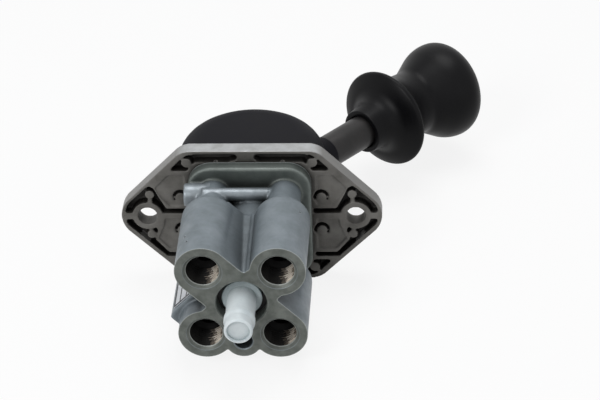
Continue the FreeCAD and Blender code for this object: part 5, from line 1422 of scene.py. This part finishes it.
@dataclass(frozen=True)
class Studio:
    """Pale floor, plain soft light and the camera at the photograph's angle."""

    focal_px: float = 2000.0
    width_px: float = 600.0
    distance_mm: float = 946.951
    offset_mm: tuple[float, float] = (-22.456, -3.322)
    azimuth: float = 3.343082884
    elevation: float = 31.587050784
    roll: float = -1.897513863
    floor_drop_mm: float = 35.4
    floor_reach_mm: float = 3000.0
    sensor_mm: float = 36.0
    daylight: float = 0.28
    floor_glow: float = 0.86
    aim: Place = (0.0, -0.03, 0.0)
    lamps: tuple[tuple[str, float, float, Place], ...] = (
        ("key", 0.5, 8.0, (-0.6, -0.95, 0.85)),
        ("fill", 0.9, 0.6, (0.8, -0.8, 0.3)),
        ("top", 0.6, 5.0, (0.05, 0.2, 1.0)))

    def camera(self) -> None:
        """Sets the camera at the photograph's viewing angle."""
        a, e, r = (math.radians(v) for v in (self.azimuth, self.elevation, self.roll))
        back = Vector((math.sin(a) * math.cos(e), -math.cos(a) * math.cos(e), math.sin(e)))
        right = Vector((math.cos(a), math.sin(a), 0))
        up = back.cross(right)
        turned_right = right * math.cos(r) + up * math.sin(r)
        turned_up = up * math.cos(r) - right * math.sin(r)
        data = bpy.data.cameras.new("photo_camera")
        data.sensor_width = self.sensor_mm
        data.lens = self.sensor_mm * self.focal_px / self.width_px
        data.clip_start = 0.01
        data.clip_end = 20.0
        camera = linked("photo_camera", data)
        axes = Matrix((turned_right, turned_up, back)).transposed()
        spot = axes @ Vector((-self.offset_mm[0], -self.offset_mm[1], self.distance_mm)) * MM
        camera.matrix_world = Matrix.Translation(spot) @ axes.to_4x4()
        bpy.context.scene.camera = camera

    def lamp(self, name: str, size: float, power: float, spot: Place) -> None:
        """Adds a soft square lamp that looks at the object."""
        data = bpy.data.lights.new(name, "AREA")
        data.shape = "SQUARE"
        data.size = size
        data.energy = power
        lamp = linked(name, data)
        lamp.location = spot
        lamp.rotation_euler = (Vector(self.aim) - Vector(spot)).to_track_quat("-Z", "Y").to_euler()

    def seen(self, tree: Tree) -> Socket:
        """1 where the camera, a reflection or a refraction looks, and 0 for light on the object."""
        rays = add_node(tree, "ShaderNodeLightPath").outputs
        seen = rays["Is Camera Ray"]
        for other in ("Is Glossy Ray", "Is Transmission Ray"):
            seen = add_node(tree, "ShaderNodeMath", links={0: seen, 1: rays[other]},
                            operation="MAXIMUM").outputs[0]
        return seen

    def world(self) -> None:
        """White to the eye, and a plain pale light on the object."""
        world = bpy.data.worlds.new("studio")
        bpy.context.scene.world = world
        tree = empty_tree(world)
        light = add_node(tree, "ShaderNodeBackground", {"Color": linear("#F4F6FA"),
                                                        "Strength": self.daylight})
        white = add_node(tree, "ShaderNodeBackground", {"Color": linear("#FFFFFF"), "Strength": 1.0})
        mixed = add_node(tree, "ShaderNodeMixShader", links={
            0: self.seen(tree), 1: light.outputs[0], 2: white.outputs[0]})
        add_node(tree, "ShaderNodeOutputWorld", links={"Surface": mixed.outputs[0]})

    def floor(self) -> None:
        """Pale floor just under the flange's lower edge; it keeps a soft shadow."""
        reach, drop = self.floor_reach_mm, -self.floor_drop_mm
        corners = ((-reach, -reach), (reach, -reach), (reach, reach), (-reach, reach))
        floor = mesh_object("studio_floor", [(x, y, drop) for x, y in corners], [(0, 1, 2, 3)])
        material = bpy.data.materials.new("paper_white_floor")
        tree = empty_tree(material)
        place = add_node(tree, "ShaderNodeTexCoord").outputs["Object"]
        paper = add_node(tree, "ShaderNodeBsdfPrincipled",
                         {"Base Color": linear("#F6F6F6"), "Roughness": 0.9},
                         {"Normal": bump(tree, noise(tree, place, 1.2), 0.02)})
        glow = add_node(tree, "ShaderNodeEmission", {"Color": linear("#FFFFFF"), "Strength": 1.0})
        share = add_node(tree, "ShaderNodeMath", {1: self.floor_glow}, {0: self.seen(tree)},
                         operation="MULTIPLY")
        mixed = add_node(tree, "ShaderNodeMixShader", links={
            0: share.outputs[0], 1: paper.outputs[0], 2: glow.outputs[0]})
        add_node(tree, "ShaderNodeOutputMaterial", links={"Surface": mixed.outputs[0]})
        floor.data.materials.append(material)

    def build(self) -> None:
        """Sets camera, light, world and floor."""
        self.camera()
        self.world()
        self.floor()
        for lamp in self.lamps:
            self.lamp(*lamp)
        bpy.context.scene.view_settings.view_transform = "Standard"


def main() -> None:
    """Builds the studio, the finishes and the pieces in order."""
    logging.basicConfig(level=logging.INFO, format="%(name)s: %(message)s")
    Studio().build()
    dress_nodes()
    for maker in (FlangeCasting(), BodyCasting(), Hood(), Lever(), ExhaustNozzle(), PlateInk()):
        maker.build()
        LOG.info("%s is done", type(maker).__name__)


if __name__ == "__main__":
    main()
